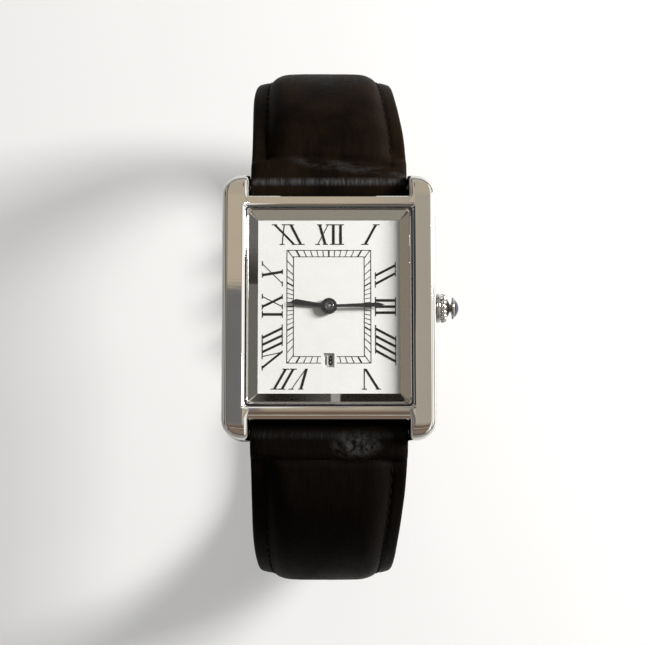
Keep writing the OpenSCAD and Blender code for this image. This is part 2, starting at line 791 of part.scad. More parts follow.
module along_x(x) {
    translate([x, 0, stem_z]) rotate([0, 90, 0]) children();
}

module winding_stem() color(steel) {
    shoulder = pinion_x + pinion_l + stem_step;
    along_x(stem_end_x) cylinder(r = groove_r, h = shoulder - stem_end_x);
    along_x(shoulder) cylinder(r = stem_r, h = groove_x - groove_w / 2 - shoulder);
    along_x(groove_x - groove_w / 2 - 0.1) cylinder(r = groove_r, h = groove_w + 0.2);
    along_x(groove_x + groove_w / 2)
        cylinder(r = stem_r, h = crown_x + stem_into_crown - groove_x - groove_w / 2);
}

module sliding_pinion() color(steel) along_x(pinion_x) difference() {
    union() {
        cylinder(r = pinion_r - 0.15, h = pinion_l);
        gear(2 * pinion_r / 20, 18, 0.25);
    }
    translate([0, 0, -1]) cylinder(r = groove_r + run, h = 4);
}

module setting_lever() color(dark_steel) {
    tip = [groove_x, 0];
    a = atan2(tip[1] - lever_pos[1], tip[0] - lever_pos[0]);
    translate([0, 0, lever_z]) linear_extrude(lever_t) translate(lever_pos) rotate(a) {
        circle(0.55);
        translate([0, -0.3]) square([lever_arm, 0.6]);
        translate([lever_arm, 0]) circle(0.3);
    }
    rod(0.18, lever_z, stem_z - groove_r - run - lever_z, tip);
    rod(post_r + 0.05, lever_z, 3.3 - lever_z, lever_pos);
}

module crown_tube() color(steel) difference() {
    along_x(cavity_w / 2 + 0.05) cylinder(r = tube_out_r, h = tube_x - cavity_w / 2 - 0.05);
    along_x(0) cylinder(r = tube_in_r, h = 30);
}

module crown() color(steel) difference() {
    along_x(crown_x) rotate_extrude() polygon([[0, 0], [crown_r - 0.1, 0], [crown_r, 0.12],
        [crown_r, collar_l - 0.12], [crown_r - 0.12, collar_l], [crown_r - 0.2, collar_l + 0.08],
        [body_r, body_l], [body_r - 0.32, body_l + 0.15], [neck_r + 0.13, neck_l - 0.15],
        [neck_r, neck_l], [neck_r + 0.13, neck_l + 0.15], [bezel_r - 0.17, neck_l + 0.22],
        [bezel_r, crown_l - 0.15], [bezel_r - 0.12, crown_l], [0, crown_l]]);
    along_x(crown_x - cut) cylinder(r = tube_out_r + 0.06, h = tube_x - crown_x + cut + 0.2);
    along_x(crown_x + gasket_x - 0.02) cylinder(r = tube_out_r + 0.25, h = gasket_t + 0.04);
    along_x(crown_x + 1.0) cylinder(r = stem_r, h = stem_into_crown - 1.0);
    for (i = [1:flutes]) along_x(crown_x + collar_l + 0.08) rotate(i * 360 / flutes)
        translate([crown_r - 0.2, 0, 0]) rotate([0, -flute_lean, 0]) translate([0.2, 0, -0.1])
            cylinder(r = flute_r, h = 1.2);
}

module crown_cabochon() color("#16264f") along_x(crown_x + crown_l) intersection() {
    translate([0, 0, dome_h - dome_r]) sphere(r = dome_r);
    cylinder(r = cabochon_d / 2, h = 2 * dome_h);
}

module crown_gasket() color(rubber_c) along_x(crown_x + gasket_x) rotate_extrude()
    translate([tube_out_r + 0.02, 0]) square([gasket_h, gasket_t]);

// Spring bars

module spring_bar(e) color(steel) difference() {
    translate([0, e * bar_pos_y, bar_pos_z]) rotate([0, 90, 0])
        cylinder(r = bar_r, h = lug_gap - 0.3, center = true);
    for (s = [-1, 1]) translate([s * lug_gap / 2, e * bar_pos_y, bar_pos_z]) rotate([0, -s * 90, 0])
        cylinder(r = pin_foot_r + run, h = bar_bore_l);
}

module spring_pin(e, s) color(steel)
    translate([s * lug_gap / 2, e * bar_pos_y, bar_pos_z]) rotate([0, s * 90, 0]) {
        cylinder(r = bar_tip_r, h = bar_depth);
        translate([0, 0, -fit_gap - pin_foot_l]) cylinder(r = pin_foot_r, h = pin_foot_l);
        translate([0, 0, -2 * fit_gap]) cylinder(r = bar_tip_r, h = 3 * fit_gap);
    }

module spring_bar_12() spring_bar(1);
module pin_12_left() spring_pin(1, -1);
module pin_12_right() spring_pin(1, 1);
module spring_bar_6() spring_bar(-1);
module pin_6_left() spring_pin(-1, -1);
module pin_6_right() spring_pin(-1, 1);

// Strap: a path in the YZ plane for one half, and its outward normal

flat_end = top_len + low_len + 2 * flat_y;
function path_at(s) =
    s < top_len ? [arc_y, side_z] + polar(arc_r, 90 - leave_a - s / arc_r * 180 / PI)
    : s < top_len + low_len ? [flat_y, side_z] + polar(low_r, (top_len - s) / low_r * 180 / PI)
    : s < flat_end ? [flat_y - (s - top_len - low_len), -loop_depth]
    : [-flat_y, side_z] + polar(low_r, -90 - (s - flat_end) / low_r * 180 / PI);
function normal_at(s) =
    s < top_len ? polar(1, 90 - leave_a - s / arc_r * 180 / PI)
    : s < top_len + low_len ? polar(1, (top_len - s) / low_r * 180 / PI)
    : s < flat_end ? [0, -1] : polar(1, -90 - (s - flat_end) / low_r * 180 / PI);

// Half width, with a round tip over the last stretch of the tail
function half_w(s) = mix(strap_w, strap_end_w, ease(s / (quarter_len - 12))) / 2
    * (s > tail_len - tip_len ? sqrt(1 - pow(0.93 * (s - tail_len + tip_len) / tip_len, 2)) : 1);

// Thickness of the padded middle and of the stitched margin
function pad_at(s) = s < 9 ? mix(2 * end_r, pad_t, ease(s / 7)) : mix(pad_t, flat_t, ease((s - 9) / 48));
function margin_at(s) = s < 5 ? mix(2 * end_r, edge_t, ease(s / 5)) : mix(edge_t, flat_t, ease((s - 5) / 40));
function thin_at(s) = flat_t - (flat_t - tail_t) * ease((s - quarter_len + 24) / 8);

// How far the long half stands outward of the path, where it passes over the buckle's bar
function over_at(s) = let (y = s - quarter_len)
    y < bar_y ? over_bar * ease((y + 13) / 14) : mix(over_bar, tail_drop, ease((y - bar_y - 0.5) / 3.5));

// Cross-section of the outer layer: x across the strap and v outward
function outer_section(w, t_mid, t_side, v0) = let (m = w - min(margin_w, w * 0.35), a = min(0.9, w * 0.1),
        b = min(2.4, w * 0.27), r = 0.35) [
    [-w, v0], [-w, t_side - r], [-w + r, t_side], [-m, t_side - 0.05], [-m + a, mix(t_side, t_mid, 0.55)],
    [-m + b, mix(t_side, t_mid, 0.88)], [-m * 0.45, t_mid], [m * 0.45, t_mid],
    [m - b, mix(t_side, t_mid, 0.88)], [m - a, mix(t_side, t_mid, 0.55)], [m, t_side - 0.05],
    [w - r, t_side], [w, t_side - r], [w, v0]];

// Cross-section of the lining, from its face on the wrist to the outer layer
function lining_section(w, v0, v1) = [[-w, v0 + 0.2], [-w, v1], [w, v1], [w, v0 + 0.2], [w - 0.3, v0],
    [-w + 0.3, v0]];

// Skin through a row of rings that have equal numbers of points
module sweep(rings) {
    n = len(rings[0]);
    last = len(rings) - 1;
    polyhedron([for (ring = rings, p = ring) p], concat(
        [for (j = [1:n - 2]) [0, j, j + 1]],
        [for (i = [0:last - 1], j = [0:n - 1]) let (k = (j + 1) % n, a = i * n, b = a + n)
            each [[a + j, b + k, a + k], [a + j, b + j, b + k]]],
        [for (j = [1:n - 2]) let (e = last * n) [e, e + j + 1, e + j]]));
}

// Section placed on the path in the YZ plane
function place(s, section, out) = let (c = path_at(s), q = normal_at(s))
    [for (p = section) [p[0], c[0] + q[0] * (p[1] + out), c[1] + q[1] * (p[1] + out)]];

// Both layers have their rings at the same places, so that they meet face to face
function stations(s0, s1) = let (plain = min(s1, tail_len - tip_len)) concat([s0],
    [for (s = [ring_step * ceil(s0 / ring_step + 0.1) : ring_step : plain - 0.3]) s], [plain],
    s1 > plain ? [for (i = [1:tip_rings]) plain + (s1 - plain) * sin(90 * i / tip_rings)] : []);

module leather_12(s0, s1) sweep([for (s = stations(s0, s1)) let (m = margin_at(s))
    place(s, outer_section(half_w(s), pad_at(s) - m / 2, m / 2, lining_t - m / 2), 0)]);

module lining_12(s0, s1) sweep([for (s = stations(s0, s1)) let (m = margin_at(s))
    place(s, lining_section(half_w(s), -m / 2, lining_t - m / 2), 0)]);

function margin_6(s) = s < quarter_len - 24 ? margin_at(s) : thin_at(s);
function pad_6(s) = s < quarter_len - 24 ? pad_at(s) : thin_at(s);

module leather_6(s0, s1) sweep([for (s = stations(s0, s1)) let (m = margin_6(s))
    place(s, outer_section(half_w(s), pad_6(s) - m / 2, m / 2, lining_t - m / 2), over_at(s))]);

module lining_6(s0, s1) sweep([for (s = stations(s0, s1)) let (m = margin_6(s))
    place(s, lining_section(half_w(s), -m / 2, lining_t - m / 2), over_at(s))]);

module bar_along_x(r, l, at) {
    translate([0, at[0], at[1]]) rotate([0, 90, 0]) cylinder(r = r, h = l, center = true);
}

lug_bar = [bar_pos_y, bar_pos_z];
buckle_pos = [bar_y, bar_z];

module strap_12_leather() color(leather_c) difference() {
    union() {
        leather_12(0.2, fixed_len - 1);
        bar_along_x(end_r, strap_w, lug_bar);
        bar_along_x(end_loop_r, strap_end_w, buckle_pos);
    }
    bar_along_x(bar_r + 0.05, strap_w + 2, lug_bar);
    bar_along_x(buckle_bar_r + 0.05, strap_w, buckle_pos);
    translate([-tongue_gap / 2, bar_y - 4, bar_z - 4]) cube([tongue_gap, 5.6, 8]);
}

module strap_12_lining() color(lining_c) lining_12(2.0, fixed_len - 2.0);

// Holes of the long half: a stretched one where the tang goes through, and round ones past it
module strap_holes() {
    translate([-hole_r, bar_y - slot_l - 0.2, -loop_depth - 8]) cube([2 * hole_r, slot_l + 1, 12]);
    for (i = [1:3]) translate([0, bar_y - 1.6 + i * hole_step, -loop_depth - 8]) cylinder(r = hole_r, h = 8);
}

module strap_6_leather() color(leather_c) difference() {
    union() {
        mirror([0, 1, 0]) leather_6(0.2, tail_len);
        bar_along_x(end_r, strap_w, [-bar_pos_y, bar_pos_z]);
    }
    bar_along_x(bar_r + 0.05, strap_w + 2, [-bar_pos_y, bar_pos_z]);
    strap_holes();
}

module strap_6_lining() color(lining_c) difference() {
    mirror([0, 1, 0]) lining_6(2.0, tail_len);
    strap_holes();
}

// Loops that hold the tail
module keeper(y, w) color(leather_c) translate([0, y + w, 0]) rotate([90, 0, 0])
    linear_extrude(w) difference() {
    h = keeper_top + keeper_t - low_z;
    translate([0, low_z + h / 2]) rounded(2 * (keeper_in_x + keeper_t), h, 1.2);
    translate([0, low_z + h / 2]) rounded(2 * keeper_in_x, h - 2 * keeper_t, 0.4);
}

module fixed_keeper() keeper(fixed_keeper_y, fixed_keeper_w);
module free_keeper() keeper(free_keeper_y, free_keeper_w);

// Buckle
rod_pos = [rod_y, rod_z];

module buckle_frame() color(steel) difference() {
    d = (rod_pos - buckle_pos) / norm(rod_pos - buckle_pos);
    n = [-d[1], d[0]];
    union() {
        for (s = [-1, 1]) translate([s * (arm_in + arm_w / 2), 0, 0]) rotate([90, 0, 90])
            linear_extrude(arm_w, center = true) {
                translate(buckle_pos) circle(boss_r);
                polygon([buckle_pos - n * (boss_r - 0.1), rod_pos - n * (rod_r - 0.02),
                    rod_pos + n * (rod_r - 0.02), buckle_pos + n * (boss_r - 0.1)]);
            }
        bar_along_x(rod_r, 2 * (arm_in + arm_w), rod_pos);
    }
    bar_along_x(buckle_bar_r + run, 40, buckle_pos);
    difference() {
        bar_along_x(2 * rod_r, tang_w + 0.5, rod_pos);
        bar_along_x(notch_r, tang_w + 2, rod_pos);
    }
}

module buckle_tang() color(steel) rotate([90, 0, 90]) linear_extrude(tang_w, center = true) difference() {
    bend = [bar_y - 2.9, low_z + 0.6];
    tip = [rod_y - 0.9, low_z + tang_tip_t / 2];
    t = 0.45;
    union() {
        translate(buckle_pos) circle(tang_eye_r);
        polygon([buckle_pos + [-0.9, 0.1], bend + [-0.2, t - 0.05], tip + [0, tang_tip_t / 2],
            tip - [0, tang_tip_t / 2], bend + [0, -t], bend + [t, -0.5 * t], buckle_pos + [0.4, -0.6]]);
    }
    translate(buckle_pos) circle(buckle_bar_r + run);
}

module buckle_bar() color(steel) bar_along_x(buckle_bar_r, 2 * (arm_in + arm_w), buckle_pos);

case_middle();
case_back();
case_back_gasket();
case_back_screws();
crystal();
crystal_gasket();
flange_ring();
dial();
hour_numerals();
minute_track();
hour_hand();
minute_hand();
cannon_pinion();
centre_wheel();
hour_wheel();
minute_wheel();
setting_wheel();
date_wheel();
date_ring();
date_guard_plate();
date_jumper();
main_plate();
train_bridge();
intermediate_wheel();
rotor();
stator();
coil();
circuit_board();
quartz_can();
battery();
battery_clamp();
movement_screws();
movement_ring();
winding_stem();
sliding_pinion();
setting_lever();
crown();
crown_cabochon();
crown_tube();
crown_gasket();
spring_bar_12();
pin_12_left();
pin_12_right();
spring_bar_6();
pin_6_left();
pin_6_right();
strap_12_leather();
strap_12_lining();
strap_6_leather();
strap_6_lining();
fixed_keeper();
free_keeper();
buckle_frame();
buckle_tang();
buckle_bar();
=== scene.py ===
"""Dresses the frame of a rectangular dress watch: polished case, crystal, dial, hands, crown,
padded leather strap, buckle, studio light and camera. Lengths are in metres, +Z comes out of
the dial, +Y points to twelve and +X to the crown."""

import json
import math

import bmesh
import bpy
from bpy.props import FloatProperty, FloatVectorProperty, IntProperty, PointerProperty
from mathutils import Matrix, Vector, noise


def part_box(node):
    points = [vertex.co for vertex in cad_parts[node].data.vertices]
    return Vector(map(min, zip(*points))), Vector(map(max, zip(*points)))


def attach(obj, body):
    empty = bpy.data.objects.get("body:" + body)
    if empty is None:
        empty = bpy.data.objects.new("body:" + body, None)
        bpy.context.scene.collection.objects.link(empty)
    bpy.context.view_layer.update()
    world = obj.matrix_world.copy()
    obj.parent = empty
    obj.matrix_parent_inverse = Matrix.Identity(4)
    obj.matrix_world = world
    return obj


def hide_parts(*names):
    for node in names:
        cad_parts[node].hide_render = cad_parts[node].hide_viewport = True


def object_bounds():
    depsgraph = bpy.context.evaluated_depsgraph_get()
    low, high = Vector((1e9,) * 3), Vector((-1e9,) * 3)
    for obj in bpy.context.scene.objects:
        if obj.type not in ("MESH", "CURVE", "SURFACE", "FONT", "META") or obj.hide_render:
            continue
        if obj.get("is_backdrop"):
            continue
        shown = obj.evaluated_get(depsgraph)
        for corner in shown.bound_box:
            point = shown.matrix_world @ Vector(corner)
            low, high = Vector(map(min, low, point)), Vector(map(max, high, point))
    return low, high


bl_info = {
    "name": "Dress Watch Finishes",
    "version": (1, 0, 0),
    "blender": (4, 5, 0),
    "location": "View3D > Sidebar > Watch",
    "description": "Builds the finishes, strap, light and camera of a rectangular dress watch",
    "category": "Object",
}

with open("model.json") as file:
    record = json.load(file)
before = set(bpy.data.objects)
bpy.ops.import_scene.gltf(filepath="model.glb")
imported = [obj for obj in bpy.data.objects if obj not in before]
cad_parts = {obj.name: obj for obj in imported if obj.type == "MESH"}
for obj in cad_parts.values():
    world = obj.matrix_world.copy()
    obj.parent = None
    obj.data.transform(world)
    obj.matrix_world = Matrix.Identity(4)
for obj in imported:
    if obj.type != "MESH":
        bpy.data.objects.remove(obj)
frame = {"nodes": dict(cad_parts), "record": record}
cad_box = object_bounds()
finishes = {}
MM = 0.001

# Sizes repeated from the part's source, in millimetres
CASE_W, CASE_L, FRONT_Z = 31.0, 38.8, 7.1
BAR_Y, LUG_GAP, DROOP, DROOP_Y, CORNER_R, BACK_Z = 16.0, 23.1, 1.15, 15.3, 3.0, 1.0
OPENING, RIM = (12.15, 14.5), (12.65, 14.85)
SEAT_Z, LEDGE_Z = 6.3, 5.9
SPRING_BAR = (17.9, 2.8)
STRAP_W, STRAP_END_W = 22.9, 18.0
PAD, FLAT, EDGE, LINING, END_R = 4.2, 2.2, 2.7, 0.8, 1.8
LOOP_Y, LOOP_DEPTH, BOTTOM_HALF = 38.3, 38.6, 20.4
LOW_R = LOOP_Y - BOTTOM_HALF
SIDE_Z = LOW_R - LOOP_DEPTH
SIDE_W = LOOP_Y - SPRING_BAR[0]
SIDE_H = SPRING_BAR[1] - SIDE_Z
ARC_R = (SIDE_W**2 + SIDE_H**2) / (2 * SIDE_W)
ARC_Y = LOOP_Y - ARC_R
LEAVE = math.degrees(math.asin((SPRING_BAR[0] - ARC_Y) / ARC_R))
TOP_LEN = ARC_R * math.radians(90 - LEAVE)
LOW_LEN = LOW_R * math.pi / 2
QUARTER = TOP_LEN + LOW_LEN + BOTTOM_HALF
FLAT_END = TOP_LEN + LOW_LEN + 2 * BOTTOM_HALF
FOLD, SEAM_START, TUCK, NOSE_R = 3.9, 5.6, 0.5, 1.87
BUCKLE_Y, BUCKLE_Z = 2.0, -38.8
FIXED_LEN = QUARTER - BUCKLE_Y
TAIL_LEN = QUARTER + 30
TIP_LEN, TIP_SHAPE = 9.0, 0.93
TIP_FROM = TAIL_LEN - TIP_LEN
TAIL_T, END_LOOP_R, GAP = 2.0, 1.6, 0.2
THIN_FROM = QUARTER - 24
OVER_BAR = END_LOOP_R + GAP + TAIL_T / 2 + GAP
TAIL_DROP = FLAT / 2 + GAP + TAIL_T / 2
MARGIN, EDGE_R, BEND_IN, ASKEW = 2.2, 0.45, 0.9, {1: 0.7, -1: 0.5}
STEM_Z, CROWN_X, SCREW_AT, BAR_LIP = 3.2, 15.65, (13.3, 14.95), 0.55
KEEPER_IN, KEEPER_T, KEEPER_CORNER = 9.3, 1.1, 1.2
LOW_Z = -43.35
KEEPER_TOP = -37.4
BAR_BORE_R, BUCKLE_BORE_R, HOLE_R, HOLE_STEP, SLOT_L, TONGUE_GAP = 0.95, 0.65, 0.95, 6.4, 5.0, 1.9
PIN_BORE_R, SCREW_BORE_R, TUBE_BORE_R = 0.43, 0.45, 1.0
DATE_R, RING_TOP, DATES, DATE_SHOWN = 7.82, 4.5, 31, 18
ROUNDED = (
    "main_plate", "battery", "train_bridge", "movement_ring", "spring_bar_12", "spring_bar_6",
)

# Where the leather is worn, in millimetres. The spot lies in space stretched by SCUFF_STRETCH.
SCUFF, SCUFF_STRETCH = (3.9, -38.0, 1.8), (1.0, 1.9, 0.6)
# Lines of the painted highlights: along the rolls, and a slanted one above the case
ROLL_LINE, CREASE_Y, CREASE_SLANT = (0.0, 18.6, 4.7), 21.2, (0.124, 1.0, 0.0)

# The camera aims at a point in millimetres, from a distance in metres
SKY = (0.93, 0.925, 0.915)
CAMERA_AIM, CAMERA_REACH, CAMERA_TILT, CAMERA_LENS = (-0.94, -2.52, FRONT_Z), 0.25, 6.5, 96.9


def mix(a, b, t):
    """A value between a and b, at the share t of the way."""
    return a + (b - a) * t


def ease(t):
    """A share from 0 to 1 that starts and ends gently."""
    u = min(max(t, 0.0), 1.0)
    return u * u * (3 - 2 * u)


# Making objects


def new_object(name, data):
    """A mesh or a curve as an object of the scene, at the origin."""
    obj = bpy.data.objects.new(name, data)
    bpy.context.scene.collection.objects.link(obj)
    return obj


def made_from(name, bm):
    """The object that a bmesh describes."""
    mesh = bpy.data.meshes.new(name)
    bm.to_mesh(mesh)
    bm.free()
    return new_object(name, mesh)


def evaluated(obj):
    """An object's mesh with its modifiers applied."""
    bpy.context.view_layer.update()
    graph = bpy.context.evaluated_depsgraph_get()
    return bpy.data.meshes.new_from_object(obj.evaluated_get(graph))


def bake(obj):
    """Turns an object's modifiers into its mesh."""
    mesh = evaluated(obj)
    obj.modifiers.clear()
    obj.data = mesh


def smooth(obj, angle):
    """Smooth shading, apart from edges sharper than an angle."""
    obj.data.shade_smooth()
    obj.data.set_sharp_from_angle(angle=math.radians(angle))


def even_normals(obj, weight):
    """Turns the modifiers into the mesh, with shading that keeps flat faces flat."""
    even = obj.modifiers.new("Normals", "WEIGHTED_NORMAL")
    even.keep_sharp = True
    even.weight = weight
    bake(obj)


def piece(obj, finish, body, slot, *nodes):
    """Paints a piece with a finish; the piece rides on a body and stands for CAD nodes. The slot is
    not used.
    """
    obj.data.materials.clear()
    obj.data.materials.append(finishes[finish])
    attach(obj, body)
    if nodes:
        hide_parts(*nodes)


def rounded_copy(node, name, width, body, finish, slot=None, segments=3):
    """A CAD node with its sharp edges rounded by a width in millimetres, which stands for it."""
    bm = bmesh.new()
    bm.from_mesh(frame["nodes"][node].data)
    bmesh.ops.remove_doubles(bm, verts=bm.verts, dist=3e-7)
    bmesh.ops.dissolve_limit(
        bm, angle_limit=math.radians(0.4), use_dissolve_boundaries=False,
        verts=bm.verts, edges=bm.edges,
    )
    obj = made_from(name, bm)
    mod = obj.modifiers.new("Edges", "BEVEL")
    mod.width = width * MM
    mod.segments = segments
    mod.limit_method = "ANGLE"
    mod.angle_limit = math.radians(30)
    mod.use_clamp_overlap = True
    mod.miter_outer = "MITER_ARC"
    obj.data.shade_smooth()
    even_normals(obj, 80)
    piece(obj, finish, body, slot or finish, node)


def loft(name, rings, loop=False):
    """A skin through rings of points in millimetres, with closed ends or closed on itself."""
    bm = bmesh.new()
    rows = [[bm.verts.new(Vector(p) * MM) for p in ring] for ring in rings]
    n = len(rows[0])
    for a, b in zip(rows, rows[1:] + rows[:1] if loop else rows[1:]):
        for j in range(n):
            k = (j + 1) % n
            bm.faces.new((a[j], a[k], b[k], b[j]))
    if not loop:
        bm.faces.new(reversed(rows[0]))
        bm.faces.new(rows[-1])
    bmesh.ops.remove_doubles(bm, verts=bm.verts, dist=2e-7)
    bmesh.ops.recalc_face_normals(bm, faces=bm.faces)
    return made_from(name, bm)


def turned(name, profile, segments, at=(0, 0, 0), along_x=False):
    """A closed solid of revolution round the Z or the X axis, from (height, radius) pairs."""
    bm = bmesh.new()
    rows = []
    for h, r in profile:
        row = []
        for k in range(segments if r else 1):
            turn = 2 * math.pi * k / segments
            a, b = r * math.cos(turn), r * math.sin(turn)
            point = (h, a, b) if along_x else (a, b, h)
            row.append(bm.verts.new((Vector(point) + Vector(at)) * MM))
        rows.append(row)
    for a, b in zip(rows, rows[1:]):
        for k in range(segments):
            j = (k + 1) % segments
            corners = (a[k % len(a)], a[j % len(a)], b[j % len(b)], b[k % len(b)])
            bm.faces.new(list(dict.fromkeys(corners)))
    for row in (rows[0], rows[-1]):
        if len(row) > 1:
            bm.faces.new(row)
    bmesh.ops.recalc_face_normals(bm, faces=bm.faces)
    return made_from(name, bm)


def rod(r, a, b, segments=40):
    """A rod between two points, to cut with."""
    a, b = Vector(a) * MM, Vector(b) * MM
    bm = bmesh.new()
    bmesh.ops.create_cone(
        bm, cap_ends=True, segments=segments, radius1=r * MM, radius2=r * MM, depth=(b - a).length
    )
    turn = (b - a).to_track_quat("Z", "Y").to_matrix().to_4x4()
    bm.transform(Matrix.Translation((a + b) / 2) @ turn)
    return made_from("cutter", bm)


def block(size, centre):
    """A block, to cut with."""
    bm = bmesh.new()
    bmesh.ops.create_cube(bm, size=1.0)
    bm.transform(
        Matrix.Translation(Vector(centre) * MM) @ Matrix.Diagonal((*(Vector(size) * MM), 1.0))
    )
    return made_from("cutter", bm)


def cut(obj, cutters):
    """Cuts the cutters out of an object, and deletes them."""
    for cutter in cutters:
        mod = obj.modifiers.new("Cut", "BOOLEAN")
        mod.operation = "DIFFERENCE"
        mod.solver = "EXACT"
        mod.object = cutter
    bake(obj)
    for cutter in cutters:
        bpy.data.objects.remove(cutter)
    return obj


# Making materials


class Nodes:
    """Adds nodes to a tree. An input is fed a value, a socket, or a node's first output."""

    def __init__(self, tree):
        self.tree = tree

    def feed(self, socket, value):
        if isinstance(value, bpy.types.Node):
            value = value.outputs[0]
        if isinstance(value, bpy.types.NodeSocket):
            self.tree.links.new(value, socket)
        else:
            socket.default_value = value

    def add(self, kind, settings=None, *values, **named):
        """A node with its settings, its first inputs in order, and other inputs by name."""
        made = self.tree.nodes.new(kind)
        for key, value in (settings or {}).items():
            setattr(made, key, value)
        for socket, value in zip(made.inputs, values):
            self.feed(socket, value)
        for key, value in named.items():
            self.feed(made.inputs[key.replace("_", " ")], value)
        return made

    def math(self, operation, *values):
        return self.add("ShaderNodeMath", {"operation": operation}, *values).outputs[0]

    def product(self, value, *others):
        for other in others:
            value = self.math("MULTIPLY", value, other)
        return value

    def vector(self, operation, *values):
        """A vector operation, of which the dot product, length and distance give a number."""
        made = self.add("ShaderNodeVectorMath", {"operation": operation}, *values)
        return made.outputs[1 if operation in ("DOT_PRODUCT", "LENGTH", "DISTANCE") else 0]

    def span(self, value, low, high, from_low=0.3, from_high=0.7, kind="LINEAR"):
        """A value mapped from one range to the range low to high."""
        limits = (from_low, from_high, low, high)
        return self.add(
            "ShaderNodeMapRange", {"interpolation_type": kind}, value, *limits
        ).outputs[0]

    def blend(self, factor, one, two):
        """A colour between two, by a factor."""
        made = self.add("ShaderNodeMix", {"data_type": "RGBA"}, factor)
        for socket, value in ((made.inputs[6], one), (made.inputs[7], two)):
            linked = isinstance(value, bpy.types.NodeSocket)
            self.feed(socket, value if linked else (*value[:3], 1.0))
        return made.outputs[2]


class Finish(Nodes):
    """A material built round one Principled shader, patterned in Object coordinates."""

    def __init__(self, name, **sockets):
        self.material = bpy.data.materials.new(name)
        self.material.use_nodes = True
        super().__init__(self.material.node_tree)
        self.tree.nodes.clear()
        self.shader = self.add("ShaderNodeBsdfPrincipled", None, **sockets)
        self.output = self.add("ShaderNodeOutputMaterial", None, self.shader)
        self.place = self.add("ShaderNodeTexCoord").outputs["Object"]

    def stretched(self, scale, turn=(0, 0, 0)):
        """Object coordinates, scaled and turned."""
        return self.add(
            "ShaderNodeMapping", None, Vector=self.place, Scale=scale, Rotation=turn
        ).outputs[0]

    def noise(self, scale, detail=3.0, rough=0.5, place=None):
        return self.add(
            "ShaderNodeTexNoise", None,
            Vector=place or self.place, Scale=scale, Detail=detail, Roughness=rough,
        ).outputs[0]

    def sum(self, a, b, weight=1.0):
        """a plus weight times b."""
        return self.math("MULTIPLY_ADD", b, weight, a)

    def surface(self, shader):
        """Gives the material another shader than the Principled one alone."""
        self.feed(self.output.inputs[0], shader)

    def dress(self, colour, rough, relief, depth, strength):
        """Drives colour, roughness and a relief that is a depth in millimetres high."""
        self.feed(self.shader.inputs["Base Color"], colour)
        self.feed(self.shader.inputs["Roughness"], rough)
        bump = self.add(
            "ShaderNodeBump", None, Height=relief, Strength=strength, Distance=depth * MM
        )
        self.feed(self.shader.inputs["Normal"], bump)
        return self.material


def scaled(values, share):
    """A colour or a point, times a number."""
    return [v * share for v in values]


def polished_metal(name, colour, low=0.018, high=0.05, wear=0.0012):
    """Mirror-polished metal with faint cloudy wear and hairlines."""
    f = Finish(name, Metallic=1.0)
    cloud = f.noise(260, 4, 0.6)
    hair = f.noise(40, 2, 0.5, f.stretched((6, 130, 60), (0.1, 0.2, 0.7)))
    tone = f.blend(f.span(cloud, 0, 1), scaled(colour, 0.965), colour)
    rough = f.span(f.sum(cloud, hair, 0.4), low, high, 0.45, 0.95)
    return f.dress(tone, rough, hair, wear, 0.35)


def brushed_metal(name, colour, low=0.22, high=0.36, stretch=(8, 220, 220), grain=0.01):
    """Metal brushed along one direction."""
    f = Finish(name, Metallic=1.0)
    brushing = f.noise(22, 3, 0.6, f.stretched(stretch))
    tone = f.blend(f.span(brushing, 0, 1), scaled(colour, 0.86), colour)
    rough = f.span(f.sum(f.noise(180, 3, 0.5), brushing, 0.5), low, high, 0.5, 1.0)
    return f.dress(tone, rough, brushing, grain, 0.5)


def frosted_metal(name, colour):
    """Grained, plated movement metal."""
    f = Finish(name, Metallic=1.0)
    speck = f.noise(5200, 2, 0.6)
    tone = f.blend(f.span(f.noise(320, 3, 0.5), 0, 1), scaled(colour, 0.88), colour)
    return f.dress(tone, f.span(speck, 0.3, 0.46), speck, 0.012, 0.5)


def lacquer(name, colour, shade, rough=(0.2, 0.3), coat=0.25, shine=0.5):
    """Satin lacquer or enamel, with a barely visible mottle."""
    f = Finish(name, Coat_Weight=coat, Coat_Roughness=0.12, IOR=1.5, Specular_IOR_Level=shine)
    speck = f.noise(4200, 2, 0.5)
    tone = f.blend(f.span(f.noise(420, 4, 0.55), 0, 1), shade, colour)
    return f.dress(tone, f.span(speck, *rough), speck, 0.004, 0.3)


def moulded(name, colour, rough=(0.4, 0.55), size=2600, depth=0.01, **sockets):
    """Plain moulded plastic or rubber, or waxed thread, with a fine grain."""
    f = Finish(name, **sockets)
    grain = f.noise(size, 3, 0.6)
    tone = f.blend(f.span(f.noise(200, 2, 0.5), 0, 1), scaled(colour, 0.85), colour)
    return f.dress(tone, f.span(grain, *rough), grain, depth, 0.5)


